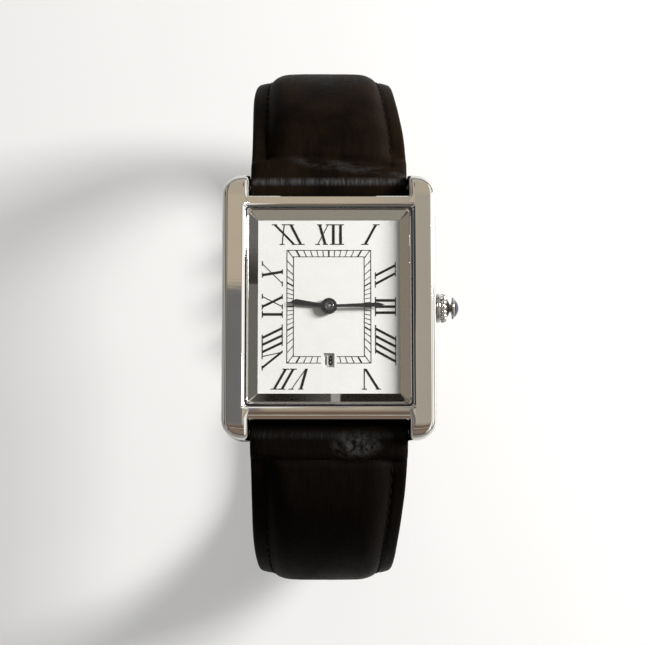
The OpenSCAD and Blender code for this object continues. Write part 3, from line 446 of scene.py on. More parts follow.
def leather(name, colour, warm, scuffed, rough=(0.42, 0.6), pore=2100, depth=0.085):
    """Dyed calf: small pebbled cells, fine wrinkles that run with the strap, warm worn patches
    painted in mostly toward twelve as light on the upper half, a painted sheen along the rolls and
    a slanted line, and a scuffed spot.
    """
    f = Finish(name, IOR=1.5, Specular_IOR_Level=0.014)
    cells = f.add(
        "ShaderNodeTexVoronoi", {"feature": "SMOOTH_F1"},
        Vector=f.place, Scale=pore, Smoothness=0.7, Randomness=0.95,
    ).outputs[0]
    wrinkle = f.noise(620, 5, 0.62, f.stretched((2.6, 0.4, 0.4)))
    broad = f.noise(150, 3, 0.55)
    to_twelve = f.vector("DOT_PRODUCT", f.place, (0.0, 1.0, 0.0))
    to_crown = f.vector("DOT_PRODUCT", f.place, (1.0, 0.0, 0.0))

    def near(distance, most, full, none):
        """The most within one distance, and nothing beyond another, in millimetres."""
        return f.span(distance, most, 0.0, full * MM, none * MM)

    # Warm worn patches at random, painted in mostly toward twelve as light on the upper half of the
    # strap
    wear_and_painted_light = f.product(
        f.span(broad, 0, 1, 0.34, 0.62), f.span(to_twelve, 0.1, 1.0, -20 * MM, 20 * MM)
    )
    dyed_and_painted_light = f.blend(wear_and_painted_light, colour, warm)

    # A painted highlight along each roll, in streaks and painted stronger toward twelve
    folded = f.vector("ABSOLUTE", f.stretched((0.0, 1.0, 1.0)))
    streaks = f.noise(1300, 4, 0.7, f.stretched((2.2, 0.3, 0.3)))
    painted_lighter = f.product(
        near(f.vector("DISTANCE", folded, scaled(ROLL_LINE, MM)), 1.0, 0.1, 0.75),
        f.span(streaks, 0.2, 1.0, 0.4, 0.62),
        f.span(to_twelve, 0.25, 1.0, -10 * MM, 10 * MM),
    )

    # A painted highlight in a slanted line above the case, right of the middle, standing in for a
    # lit crease
    off_crease = f.math(
        "ABSOLUTE",
        f.math("SUBTRACT", f.vector("DOT_PRODUCT", f.place, CREASE_SLANT), CREASE_Y * MM),
    )
    crease_painted_light = f.product(
        near(off_crease, 0.5, 0.1, 1.0),
        f.span(to_crown, 0.0, 1.0, -7 * MM, -2 * MM),
        f.span(f.noise(420, 4, 0.7, f.stretched((0.5, 1.6, 1.0))), 0.0, 1.0, 0.42, 0.62),
    )
    # The grey of the painted sheen, taken from the scuffed spot's colour
    painted_sheen = [sum(scuffed) / 3 * 1.45] * 3
    dyed_and_painted_light = f.blend(f.math("MAXIMUM", painted_lighter, crease_painted_light), dyed_and_painted_light, painted_sheen)

    # A scuffed spot on the lower roll
    spot = f.vector("DISTANCE", f.stretched(SCUFF_STRETCH), scaled(SCUFF, MM))
    worn = f.product(
        near(spot, 1.0, 1.5, 4.4), f.span(f.noise(900, 4, 0.7), 0.0, 1.0, 0.42, 0.62)
    )
    roughness = f.span(f.sum(broad, wrinkle, 0.6), *rough, 0.55, 1.05)
    relief = f.sum(f.sum(wrinkle, cells, -0.55), broad, 0.7)
    return f.dress(f.blend(worn, dyed_and_painted_light, scuffed), roughness, relief, depth, 0.75)


def clear_glass(name):
    """Crystal that lets the lamps light the dial under it."""
    f = Finish(
        name,
        Base_Color=(1.0, 0.998, 0.992, 1.0),
        IOR=1.5,
        Transmission_Weight=1.0,
        Specular_IOR_Level=0.2,
        Specular_Tint=(0.35, 0.35, 0.36, 1.0),
    )
    f.feed(f.shader.inputs["Roughness"], f.span(f.noise(90, 2, 0.5), 0.0, 0.012))
    clear = f.add("ShaderNodeBsdfTransparent", None, (0.97, 0.968, 0.96, 1.0))
    path = f.add("ShaderNodeLightPath").outputs
    mirrored = {"operation": "SUBTRACT", "use_clamp": True}
    passing = f.add(
        "ShaderNodeMath", mirrored, path["Is Glossy Ray"], path["Is Transmission Ray"]
    ).outputs[0]
    for kind in ("Is Shadow Ray", "Is Diffuse Ray"):
        passing = f.math("MAXIMUM", passing, path[kind])
    f.surface(f.add("ShaderNodeMixShader", None, passing, f.shader, clear))
    return f.material


def cabochon_blue(name, colour):
    """Deep blue polished stone."""
    f = Finish(name, Roughness=0.06, IOR=1.5)
    tone = f.blend(f.span(f.noise(700, 2, 0.5), 0, 1), scaled(colour, 0.6), colour)
    f.feed(f.shader.inputs["Base Color"], tone)
    return f.material


def wound_wire(name, colour):
    """Fine enamelled wire, wound side by side round the X axis, with painted shade in the grooves
    between the turns.
    """
    f = Finish(name, Metallic=0.85)
    bands = {"wave_type": "BANDS", "bands_direction": "X", "wave_profile": "SIN"}
    wave = f.add(
        "ShaderNodeTexWave", bands, Vector=f.place, Scale=3200, Distortion=0.3
    ).outputs[1]
    # Painted shade: darker where the bands dip between the turns
    tone = f.blend(wave, scaled(colour, 0.45), colour)
    return f.dress(tone, f.span(wave, 0.42, 0.28, 0, 1), wave, 0.03, 0.8)


def circuit(name, colour):
    """Solder mask over copper tracks."""
    f = Finish(name, Coat_Weight=0.5, Coat_Roughness=0.15)
    tracks = f.add(
        "ShaderNodeTexBrick",
        {"offset": 0.5},
        Vector=f.place,
        Scale=620,
        Mortar_Size=0.09,
        Color1=(*scaled(colour, 0.8), 1.0),
        Color2=(*colour, 1.0),
        Mortar=(*[min(1.0, c * 2.1 + 0.03) for c in colour], 1.0),
    ).outputs
    return f.dress(tracks[0], f.span(f.noise(900), 0.28, 0.42), tracks[1], 0.01, 0.5)


# Strap geometry, as in the part's source, in millimetres. A side is 1 for the half at twelve and
# -1 for the long half at six. s is the length from the spring bar, x the place across the strap,
# and v the height above its middle.


def path_at(s):
    """The strap's middle and its outward direction, in the YZ plane."""
    y, z, r = BOTTOM_HALF, SIDE_Z, LOW_R
    if s < TOP_LEN:
        y, r, a = ARC_Y, ARC_R, math.radians(90 - LEAVE) - s / ARC_R
    elif s < TOP_LEN + LOW_LEN:
        a = (TOP_LEN - s) / LOW_R
    elif s < FLAT_END:
        y, a = BOTTOM_HALF - (s - TOP_LEN - LOW_LEN), -math.pi / 2
    else:
        y, a = -BOTTOM_HALF, -math.pi / 2 - (s - FLAT_END) / LOW_R
    n = (math.cos(a), math.sin(a))
    return (y + r * n[0], z + r * n[1]), n


def half_width(s):
    """Half the strap's width, a little wider at the roll so that no light passes the lugs."""
    w = mix(STRAP_W, STRAP_END_W, ease(s / (QUARTER - 12)) ** 0.8) / 2
    w += 0.05 * (1 - ease((s - 3) / 3))
    if s > TIP_FROM:
        w *= math.sqrt(1 - (TIP_SHAPE * min(1.0, (s - TIP_FROM) / TIP_LEN)) ** 2)
    return w


def thickness(s, side):
    """Thickness at the edge and over the padding, and whether this is the thin tail."""
    if side < 0 and s >= THIN_FROM:
        thin = mix(FLAT, TAIL_T, ease((s - THIN_FROM) / 8))
        return thin, thin, True
    edge = mix(2 * END_R, EDGE, ease(s / 5)) if s < 5 else mix(EDGE, FLAT, ease((s - 5) / 40))
    pad = mix(2 * END_R, PAD, ease(s / 7)) if s < 9 else mix(PAD, FLAT, ease((s - 9) / 41))
    return edge, pad, False


def over_at(s, side):
    """How far a half stands out of the loop, as the long one does over the buckle's bar."""
    y = s - QUARTER
    if side > 0:
        return 0.0
    if y < BUCKLE_Y:
        return OVER_BAR * ease((y + 13) / 14)
    return mix(OVER_BAR, TAIL_DROP, ease((y - BUCKLE_Y - 0.5) / 3.5))


def place(s, x, v, side):
    """A point of the strap, whose margins bend in over the wrist and whose halves have worn a
    little askew."""
    at, back = max(s, 0.0), min(s, 0.0)
    (cy, cz), (ny, nz) = path_at(at)
    bend = ease((s - 5) / 8) * (1 - ease((s - 38) / 20))
    v += over_at(at, side) - BEND_IN * bend * (abs(x) / half_width(at)) ** 4
    x -= ASKEW[side] * ease((s - 4) / 18) * (1 - ease((s - 36) / 22))
    return (x, side * (cy + nz * back + ny * v), cz - ny * back + nz * v)


def narrowing(w):
    """How much the margin narrows with the strap, near its tip."""
    return min(1.0, w / 7.0)


def across(w):
    """Places across the outer face, from one edge to the other, closer where the form turns."""
    steps = [0.0, 0.08, 0.22, 0.45, 0.8, 1.2, 1.6, 1.85, 2.0, 2.12, 2.24, 2.36, 2.5, 2.7, 3.0]
    left = [-w + d * narrowing(w) for d in (*steps, 3.4, 3.9, 4.5, 5.2, 6.0)]
    inner = left[-1]
    return left + [inner - 2 * inner * i / 26 for i in range(1, 26)] + [-x for x in reversed(left)]


def crumple(x, s, side):
    """Small folds of worn leather."""
    near, band = ease((13 - s) / 8), ease((FOLD + 0.8 - s) / 1.6)
    fold = noise.noise(Vector((x * 0.9, s * 0.42, 4.0 + side)))
    pleat = noise.noise(Vector((x * 1.5, s * 0.22, 9.0 * side)))
    fine = noise.noise(Vector((x * 1.3, s * 0.8, 2.0 * side)))
    rest = 0.02 * noise.noise(Vector((x * 0.5, s * 0.35, 6.0 * side)))
    creased = (0.03 + 0.05 * math.exp(-((x / 6.5) ** 2))) * pleat * (1 - band)
    return near * (0.05 * fold + creased) + band * 0.05 * fine + rest


def outer_height(x, s, side):
    """Height of the outer face. The pad rises inside the margin, a groove follows the seam, and
    the roll over the spring bar ends in a fold."""
    edge, pad, thin = thickness(s, side)
    w = half_width(s)
    from_edge = w - abs(x)
    inside = from_edge - MARGIN * narrowing(w)
    rise = 1 - (1 - min(max(inside / 3.1, 0.0), 1.0)) ** 2.3
    v = mix(edge / 2, pad - edge / 2, rise) - TUCK * (1 - ease((s - 4.0) / 7.0))
    if s < TAIL_LEN - 1:
        v -= 0.2 * math.exp(-(((inside + 0.02) / 0.32) ** 2)) * ease((s - FOLD - 1.0) / 1.5)
    roll = mix(END_R, END_R + 0.25, ease(s / 4.0)) - 0.5 * math.exp(-from_edge / 0.5)
    v = mix(v, roll, 1 - ease((s - FOLD + 0.8) / 1.5))
    wave = 0.5 * noise.noise(Vector((x * 0.16, 3.0 * side, 1.0)))
    if side > 0:
        wave += 0.3 - (0.0085 if x > -4 else 0.012) * (x + 4) ** 2
    v -= 0.3 * math.exp(-(((s - FOLD - wave) / 0.42) ** 2)) * ease((s - 1.6) / 0.6)
    v += crumple(x, s, side) * (0.6 if thin else 1)
    if from_edge < EDGE_R:
        v -= EDGE_R - math.sqrt(max(0.0, EDGE_R**2 - (EDGE_R - from_edge) ** 2))
    return v


def stops_along(s, end, side, step):
    """Places along a half, from s to its end, closer together round the long half's tip."""
    stops = []
    while s < (TIP_FROM if side < 0 else end - 0.3):
        stops.append(s)
        s += step(s)
    if side > 0:
        return stops + [end]
    return stops + [TIP_FROM + TIP_LEN * math.sin(math.radians(90 * i / 14)) for i in range(15)]


def leather_step(s):
    """Distance from one ring of the leather to the next, short near the roll."""
    return 0.32 if s < 9 else (0.7 if s < 26 else 1.3)


def leather_rings(side):
    """Rings of the outer leather, with a round nose over the spring bar and the buckle's bar."""
    noses = [math.radians(a) for a in (88, 76, 62, 48, 34, 20, 8)]
    stops = [(-NOSE_R * math.sin(a), math.cos(a)) for a in noses]
    stops += [(s, 1.0) for s in stops_along(0.0, FIXED_LEN, side, leather_step)]
    if side > 0:
        stops += [(FIXED_LEN + END_LOOP_R * math.sin(a), math.cos(a)) for a in reversed(noses)]
    rings = []
    for s, share in stops:
        at = max(s, 0.0)
        edge, w = thickness(at, side)[0], half_width(at)
        low = mix(-END_R, LINING - edge / 2, ease((at - 1.5) / 0.6))
        centre = lift = 0.0
        if side > 0 and at > FIXED_LEN - 6:
            low = mix(low, -END_LOOP_R - GAP, ease((at - FIXED_LEN + 2.1) / 0.6))
            lift = ease((at - FIXED_LEN + 6) / 5) * (END_LOOP_R - GAP - edge / 2)
            centre = -GAP if s > FIXED_LEN else 0.0
        points = [(x, outer_height(x, at, side) + lift) for x in across(w)]
        points += [(w - 2 * w * i / 8, low) for i in range(9)]
        rings.append([place(s, x, centre + (v - centre) * share, side) for x, v in points])
    return rings


def lining_rings(side):
    """Rings of the lining, which is rounded at its inner edges."""
    rings = []
    for s in stops_along(2.05, FIXED_LEN - 2.0, side, lambda s: 1.3):
        low, w = -thickness(s, side)[0] / 2, half_width(s)
        half = [(w, 0.3), (w - 0.06, 0.08), (w - 0.2, 0.0), (w * 0.6, 0.0), (w * 0.2, 0.0)]
        points = [(x, low + lift) for x, lift in half]
        points += [(-x, v) for x, v in reversed(points)]
        points += [(-w, low + LINING), (w, low + LINING)]
        rings.append([place(s, x, v, side) for x, v in points])
    return rings


def seam_lines(side):
    """Lines that the stitches follow, as lists of (point, outward)."""
    last = TIP_FROM if side < 0 else FIXED_LEN - 4.5
    count = int((last - SEAM_START) / 0.8)
    steps = [SEAM_START + (last - SEAM_START) * i / count for i in range(count + 1)]
    for sign in (-1, 1):
        line = [(s, sign * (half_width(s) - MARGIN)) for s in steps]
        if side < 0:
            inner = half_width(last) - MARGIN
            reach = TIP_LEN / TIP_SHAPE - MARGIN
            turns = [math.radians(a) for a in range(6, 91, 6)]
            arc = [(last + reach * math.sin(a), sign * inner * math.cos(a)) for a in turns]
            line += arc if sign < 0 else arc[:-1]
        row = []
        for s, x in line:
            n = path_at(s)[1]
            point = place(s, x, outer_height(x, s, side) + 0.03, side)
            row.append((point, (0.0, side * n[0], n[1])))
        yield row


# Geometry node trees


def tree_with(name, *sizes):
    """The node maker of a new tree, and the tree's geometry and named sizes."""
    tree = bpy.data.node_groups.new(name, "GeometryNodeTree")
    tree.interface.new_socket("Geometry", in_out="INPUT", socket_type="NodeSocketGeometry")
    for label, kind, value in sizes:
        made = tree.interface.new_socket(label, in_out="INPUT", socket_type=kind)
        made.default_value = value
    tree.interface.new_socket("Geometry", in_out="OUTPUT", socket_type="NodeSocketGeometry")
    net = Nodes(tree)
    return net, net.add("NodeGroupInput").outputs


def painted_end(net, geometry, material):
    """Ends a tree in its painted geometry."""
    paint = net.add("GeometryNodeSetMaterial", Geometry=geometry, Material=material)
    net.add("NodeGroupOutput", None, paint)
    return net.tree


def run_tree(obj, tree, values):
    """Runs a tree on an object with its named inputs set, and keeps the result as its mesh."""
    mod = obj.modifiers.new(tree.name, "NODES")
    mod.node_group = tree
    for item in tree.interface.items_tree:
        if item.item_type == "SOCKET" and item.in_out == "INPUT" and item.name in values:
            mod[item.identifier] = values[item.name]
    bake(obj)


def stitch_tree(material):
    """Stitches laid along a line at an even pitch, flat on the leather."""
    net, given = tree_with(
        "Stitches",
        ("Pitch", "NodeSocketFloat", 0.0017),
        ("Stitch length", "NodeSocketFloat", 0.0012),
        ("Thread width", "NodeSocketFloat", 0.0004),
    )
    add, width = net.add, given["Thread width"]
    line = add("GeometryNodeMeshToCurve", None, given["Geometry"])
    spaced = add("GeometryNodeResampleCurve", {"mode": "LENGTH"}, line, Length=given["Pitch"])
    tangent = add("GeometryNodeInputTangent")
    along = add("FunctionNodeAlignRotationToVector", {"axis": "X"}, Vector=tangent)
    outward = add("GeometryNodeInputNamedAttribute", {"data_type": "FLOAT_VECTOR"}, "outward")
    turn = add(
        "FunctionNodeAlignRotationToVector", {"axis": "Z", "pivot_axis": "X"},
        Rotation=along, Vector=outward.outputs["Attribute"],
    )
    ball = add("GeometryNodeMeshUVSphere", Segments=8, Rings=6, Radius=0.5)
    size = add("ShaderNodeCombineXYZ", None, given["Stitch length"], width, width)
    stitch = add("GeometryNodeTransform", Geometry=ball, Scale=size)
    lay = add("GeometryNodeInstanceOnPoints", Points=spaced, Instance=stitch, Rotation=turn)
    real = add("GeometryNodeRealizeInstances", None, lay)
    return painted_end(net, add("GeometryNodeSetShadeSmooth", None, real), material)


def bead_tree(material):
    """Beads set evenly round the crown's cone, added to the crown's body."""
    net, given = tree_with(
        "Crown beads",
        ("Beads", "NodeSocketInt", 16),
        ("Ring radius", "NodeSocketFloat", 0.0018),
        ("Ring place", "NodeSocketFloat", 0.0168),
        ("Axis height", "NodeSocketFloat", 0.0032),
        ("Bead length", "NodeSocketFloat", 0.0011),
        ("Bead width", "NodeSocketFloat", 0.00062),
        ("Lean", "NodeSocketFloat", 0.45),
    )
    add, width = net.add, given["Bead width"]
    ball = add("GeometryNodeMeshUVSphere", Segments=14, Rings=10, Radius=0.5)
    size = add("ShaderNodeCombineXYZ", None, given["Bead length"], width, width)
    form = add("GeometryNodeTransform", Geometry=ball, Scale=size)
    lean = add("ShaderNodeCombineXYZ", Y=given["Lean"])
    shift = add("ShaderNodeCombineXYZ", X=given["Ring place"], Z=given["Ring radius"])
    bead = add("GeometryNodeTransform", Geometry=form, Rotation=lean, Translation=shift)
    line = add("GeometryNodeMeshLine", Count=given["Beads"], Offset=(0, 0, 0))
    step = net.math("DIVIDE", 2 * math.pi, given["Beads"])
    turn = add("ShaderNodeCombineXYZ", X=net.product(add("GeometryNodeInputIndex"), step))
    lay = add("GeometryNodeInstanceOnPoints", Points=line, Instance=bead, Rotation=turn)
    real = add("GeometryNodeRealizeInstances", None, lay)
    axis = add("ShaderNodeCombineXYZ", Z=given["Axis height"])
    raised = add("GeometryNodeTransform", Geometry=real, Translation=axis)
    whole = add("GeometryNodeJoinGeometry", None, add("GeometryNodeSetShadeSmooth", None, raised))
    net.feed(whole.inputs[0], given["Geometry"])
    return painted_end(net, whole, material)


# Settings


def colour_of(name, description, default):
    return FloatVectorProperty(
        name=name, description=description, subtype="COLOR", default=default, min=0, max=1
    )


def length_of(name, description, default, least=0):
    """A length, whose default and least value are given in millimetres."""
    return FloatProperty(
        name=name, description=description, default=default * MM, min=least * MM, unit="LENGTH"
    )


class WatchCaseSettings(bpy.types.PropertyGroup):
    steel: colour_of("Steel", "Colour of the polished steel", (0.66, 0.645, 0.62))
    rail_round: length_of(
        "Rail rounding", "Rounding of the outer shoulders of the rails and lugs", 0.95, 0.1
    )
    bar_round: length_of("Bar edge", "Rounding of the bars' edges toward the strap", 0.24, 0.1)
    chamfer: length_of("Opening chamfer", "Depth of the bevel round the crystal's opening", 0.3)


class WatchDialSettings(bpy.types.PropertyGroup):
    lacquer: colour_of("Dial", "Colour of the dial's lacquer", (0.875, 0.875, 0.86))
    ink: colour_of("Ink", "Colour of the printed numerals and track", (0.007, 0.007, 0.008))
    blued: colour_of("Hands", "Colour of the blued hands", (0.055, 0.06, 0.08))
    date_height: length_of("Date height", "Height of the date's figures", 1.4)


class WatchCrownSettings(bpy.types.PropertyGroup):
    beads: IntProperty(name="Beads", description="Beads round the crown", default=16, min=6, max=40)
    bead_width: length_of("Bead width", "Width of one bead", 0.66)
    stone: colour_of("Cabochon", "Colour of the crown's stone", (0.006, 0.004, 0.032))


class WatchStrapSettings(bpy.types.PropertyGroup):
    dye: colour_of("Leather", "Colour of the strap's outer leather", (0.0036, 0.0026, 0.002))
    # Warm worn colour of patches that are painted in mostly toward twelve, as light on the upper
    # half of the strap
    worn: colour_of(
        "Worn leather", "Colour of the leather where it is rubbed", (0.0098, 0.0059, 0.0033)
    )
    # Also gives the grey of the painted sheen on the rolls and the slanted line
    scuffed: colour_of(
        "Scuffed leather", "Colour of the scuffed spot on the lower roll", (0.045, 0.043, 0.041)
    )
    pitch: length_of("Stitch pitch", "Distance from one stitch to the next", 1.75, 0.5)
    stitch: length_of("Stitch length", "Length of one stitch", 1.3)
    thread: length_of("Thread width", "Width of the sewing thread", 0.42)


class WatchStageSettings(bpy.types.PropertyGroup):
    floor: colour_of("Floor", "Colour of the floor", (0.84, 0.83, 0.81))
    key: FloatProperty(
        name="Key light", description="Power of the main lamp in watts", default=4.5, min=0
    )
    fill: FloatProperty(
        name="Fill light", description="Power of the fill lamp in watts", default=0.11, min=0
    )


# Operators


class WATCH_OT_finishes(bpy.types.Operator):
    """Makes the materials of every finish, and gives them to the CAD nodes"""

    bl_idname = "watch.finishes"
    bl_label = "Finishes"

    def execute(self, context):
        scene = context.scene
        dial, strap = scene.watch_dial, scene.watch_strap
        steel, stone = tuple(scene.watch_case.steel), tuple(scene.watch_crown.stone)
        white, ink, blued = tuple(dial.lacquer), tuple(dial.ink), tuple(dial.blued)
        dye, worn, scuffed = tuple(strap.dye), tuple(strap.worn), tuple(strap.scuffed)
        finishes.update({
            "case_steel": polished_metal("Polished case steel", steel),
            "back_steel": brushed_metal("Brushed back steel", (0.58, 0.56, 0.53), grain=0.003),
            "screw_steel": polished_metal(
                "Polished screw steel", (0.52, 0.51, 0.49), 0.08, 0.16, 0.004
            ),
            "movement_steel": brushed_metal("Satin movement steel", (0.5, 0.49, 0.48), 0.3, 0.42),
            # The crown's steel is painted darker than the case's, as painted shade on the crown
            "crown": polished_metal("Darker crown steel", (0.44, 0.43, 0.41), 0.03, 0.07),
            "flange": polished_metal("Grey flange steel", (0.36, 0.355, 0.34), 0.0, 0.015, 0.0003),
            "hub_cap": polished_metal("Grey hub steel", (0.15, 0.155, 0.185), 0.05, 0.1),
            "hub_pin": polished_metal("Bright pin steel", (0.6, 0.6, 0.64), 0.08, 0.14),
            "blued_steel": polished_metal("Blued hand steel", blued, 0.14, 0.24),
            "brass": brushed_metal(
                "Satin wheel brass", (0.72, 0.55, 0.27), 0.2, 0.34, (160, 160, 12)
            ),
            "gilt_plate": frosted_metal("Frosted gilt plate", (0.68, 0.55, 0.32)),
            "crystal_glass": clear_glass("Clear crystal"),
            "dial_enamel": lacquer("White dial lacquer", white, scaled(white, 0.975)),
            "dial_ink": lacquer(
                "Black printing ink", ink, (0.012, 0.012, 0.013), (0.35, 0.5), 0.0, 0.12
            ),
            "date_white": lacquer(
                "Date ring white", (0.78, 0.78, 0.76), (0.74, 0.74, 0.72), (0.4, 0.55)
            ),
            "black_rubber": moulded(
                "Black gasket rubber", (0.008, 0.008, 0.009), (0.5, 0.65), Specular_IOR_Level=0.15
            ),
            "movement_plastic": moulded("Movement ring plastic", (0.66, 0.64, 0.58), (0.38, 0.5)),
            "thread": moulded(
                "Black sewing thread", (0.0035, 0.0032, 0.0032), (0.6, 0.8), 5200, 0.02,
                Specular_IOR_Level=0.03,
            ),
            "copper_wire": wound_wire("Enamelled copper winding", (0.62, 0.27, 0.12)),
            "circuit_green": circuit("Green circuit board", (0.02, 0.13, 0.06)),
            "blue_cabochon": cabochon_blue("Blue cabochon", stone),
            "black_leather": leather("Black calf leather", dye, worn, scuffed),
            "lining_leather": leather(
                "Matt lining leather", (0.05, 0.037, 0.03), (0.075, 0.056, 0.045),
                (0.08, 0.06, 0.05), (0.6, 0.75), 3000, 0.03,
            ),
        })
        for part in frame["record"]["subparts"]:
            obj = frame["nodes"][part["node"]]
            if not obj.material_slots:
                obj.data.materials.append(None)
            for place_slot in obj.material_slots:
                place_slot.material = finishes[part["material_slot"]]
        return {"FINISHED"}


def face_height(y):
    """Height of the case's front, which falls away toward the lugs' tips."""
    past = max(0.0, abs(y) - DROOP_Y) / (CASE_L / 2 - DROOP_Y)
    return FRONT_Z - DROOP * past**2.2


def shoulder(inset, r):
    """How far a rounded shoulder of radius r lies below the front, at an inset from the outline."""
    return 0.0 if inset >= r else r - math.sqrt(r**2 - (r - inset) ** 2)


def rail_rings(r):
    """Sections of the rail at the crown's side, from one lug's tip to the other's."""
    bends = [r * (1 - math.cos(math.radians(9 * i))) for i in range(11)]
    insets = bends + [mix(r, CORNER_R, k / 3) for k in (1, 2, 3)]
    tip, mid_x, mid_y = CASE_L / 2, CASE_W / 2 - CORNER_R, CASE_L / 2 - CORNER_R
    stops = [(tip - d, LUG_GAP / 2) for d in bends]
    stops += [(y / 100, LUG_GAP / 2) for y in range(1790, 1500, -20)]
    stops += [(RIM[1], LUG_GAP / 2), (RIM[1], RIM[0]), (10.0, RIM[0]), (5.0, RIM[0]), (0.0, RIM[0])]
    stops += [(-y, x) for y, x in reversed(stops[:-1])]
    rings = []
    for y, inner in stops:
        a = abs(y)
        past = max(0.0, a - mid_y)
        edge_x = mid_x + math.sqrt(max(0.0, CORNER_R**2 - past**2))
        ring = [(edge_x - 0.15, y, BACK_Z), (edge_x, y, BACK_Z + 0.12)]
        for d in insets:
            whole = CORNER_R - d >= past
            x = max(inner, mid_x + (math.sqrt((CORNER_R - d) ** 2 - past**2) if whole else 0.0))
            ring.append((x, y, face_height(a) - shoulder(d if whole else tip - a, r)))
        top = ring[-1][2]
        q = min(0.8 * ease((a - RIM[1]) / 1.6), 0.7 * (top - BACK_Z - 0.15))
        for k in range(6):
            b = math.radians(90 - 18 * k)
            ring.append((inner + q * (1 - math.cos(b)), y, top - q * (1 - math.sin(b))))
        ring += [(inner, y, BACK_Z + 0.12), (inner + 0.12, y, BACK_Z)]
        rings.append(ring)
    return rings


def rounded_ring(hx, hy, r, z, steps=8):
    """Points round a rectangle with rounded corners."""
    ring = []
    for sx, sy, a0 in ((1, 1, 0), (-1, 1, 90), (-1, -1, 180), (1, -1, 270)):
        for i in range(steps + 1):
            a = math.radians(a0 + 90 * i / steps)
            ring.append((sx * (hx - r) + r * math.cos(a), sy * (hy - r) + r * math.sin(a), z))
    return ring


def stem_bore():
    """The bore for the crown's tube, to cut with."""
    return rod(TUBE_BORE_R, (10.0, 0, STEM_Z), (17.0, 0, STEM_Z))


class WATCH_OT_case(bpy.types.Operator):
    """Builds the polished case with its rounded rails, lugs and bars, and the case back"""

    bl_idname = "watch.case"
    bl_label = "Case"

    def rail(self, side, shoulder_r):
        """A rail with its two lugs, bored for the spring bars, the back's screws and the stem."""
        rail = loft("rail", [[(side * x, y, z) for x, y, z in r] for r in rail_rings(shoulder_r)])
        bm = bmesh.new()
        bm.from_mesh(rail.data)
        bmesh.ops.dissolve_degenerate(bm, dist=0.0005 * MM, edges=bm.edges)
        bm.to_mesh(rail.data)
        bm.free()
        holes = [
            rod(PIN_BORE_R, *((side * x, end * SPRING_BAR[0], SPRING_BAR[1]) for x in (11.0, 12.6)))
            for end in (-1, 1)
        ]
        holes += [
            rod(SCREW_BORE_R, *((side * SCREW_AT[0], end * SCREW_AT[1], z) for z in (0.0, 4.2)))
            for end in (-1, 1)
        ]
        return cut(rail, holes + ([stem_bore()] if side > 0 else []))

    def bar(self, side, steep, edge, lip=0.0):
        """A bar whose front slopes ever steeper toward the strap and ends in a rounded edge, which
        may stand out over the strap's roll."""
        reach, y0, y1 = LUG_GAP / 2 + 0.35, RIM[1], BAR_Y
        section = [(y0, BACK_Z), (y1 - 0.12, BACK_Z), (y1, BACK_Z + 0.12)]
        if lip > 0:
            section += [(y1, 5.0), (y1 + lip, 5.4)]
        foot = len(section)
        near, far = (math.tan(math.radians(a)) for a in steep)
        width = y1 + lip - y0
        for i in range(11):
            u = width * i / 10
            fall = u * near + (far - near) * u * u / (2 * width) + shoulder(width - u, edge)
            section.insert(foot, (y0 + u, FRONT_Z - fall))
        return loft("bar", [[(x, side * y, z) for y, z in section] for x in (-reach, reach)])

    def rim(self, depth):
        """The opening round the crystal, with its bevel, its seat and the movement's room."""
        hx, hy = OPENING
        steps = (
            (*RIM, 0.0, BACK_Z), (*RIM, 0.0, FRONT_Z),
            (hx + 0.04, hy + 0.04, 0.64, FRONT_Z - depth), (hx, hy, 0.6, FRONT_Z - depth - 0.05),
            (hx, hy, 0.6, SEAT_Z), (11.86, 14.2, 0.5, SEAT_Z), (11.86, 14.2, 0.5, LEDGE_Z),
            (12.0, 14.4, 1.9, LEDGE_Z), (12.0, 14.4, 1.9, BACK_Z),
        )
        return cut(loft("rim", [rounded_ring(*step) for step in steps], loop=True), [stem_bore()])

    def execute(self, context):
        settings = context.scene.watch_case
        shells = [self.rail(side, settings.rail_round / MM) for side in (-1, 1)]
        edge = settings.bar_round / MM
        shells += [self.bar(-1, (12, 23), edge, BAR_LIP), self.bar(1, (0, 1), edge * 0.6)]
        shells.append(self.rim(settings.chamfer / MM))
        bm = bmesh.new()
        for shell in shells:
            bm.from_mesh(shell.data)
            bpy.data.objects.remove(shell)
        bmesh.ops.recalc_face_normals(bm, faces=bm.faces)
        case = made_from("polished_case", bm)
        smooth(case, 32)
        even_normals(case, 90)
        piece(case, "case_steel", "root", "case_steel", "case_middle")
        rounded_copy("case_back", "brushed_case_back", 0.15, "root", "back_steel")
        rounded_copy("case_back_screws", "polished_back_screws", 0.05, "root", "screw_steel")
        rounded_copy("crown_tube", "turned_crown_tube", 0.06, "root", "case_steel", "back_steel")
        return {"FINISHED"}


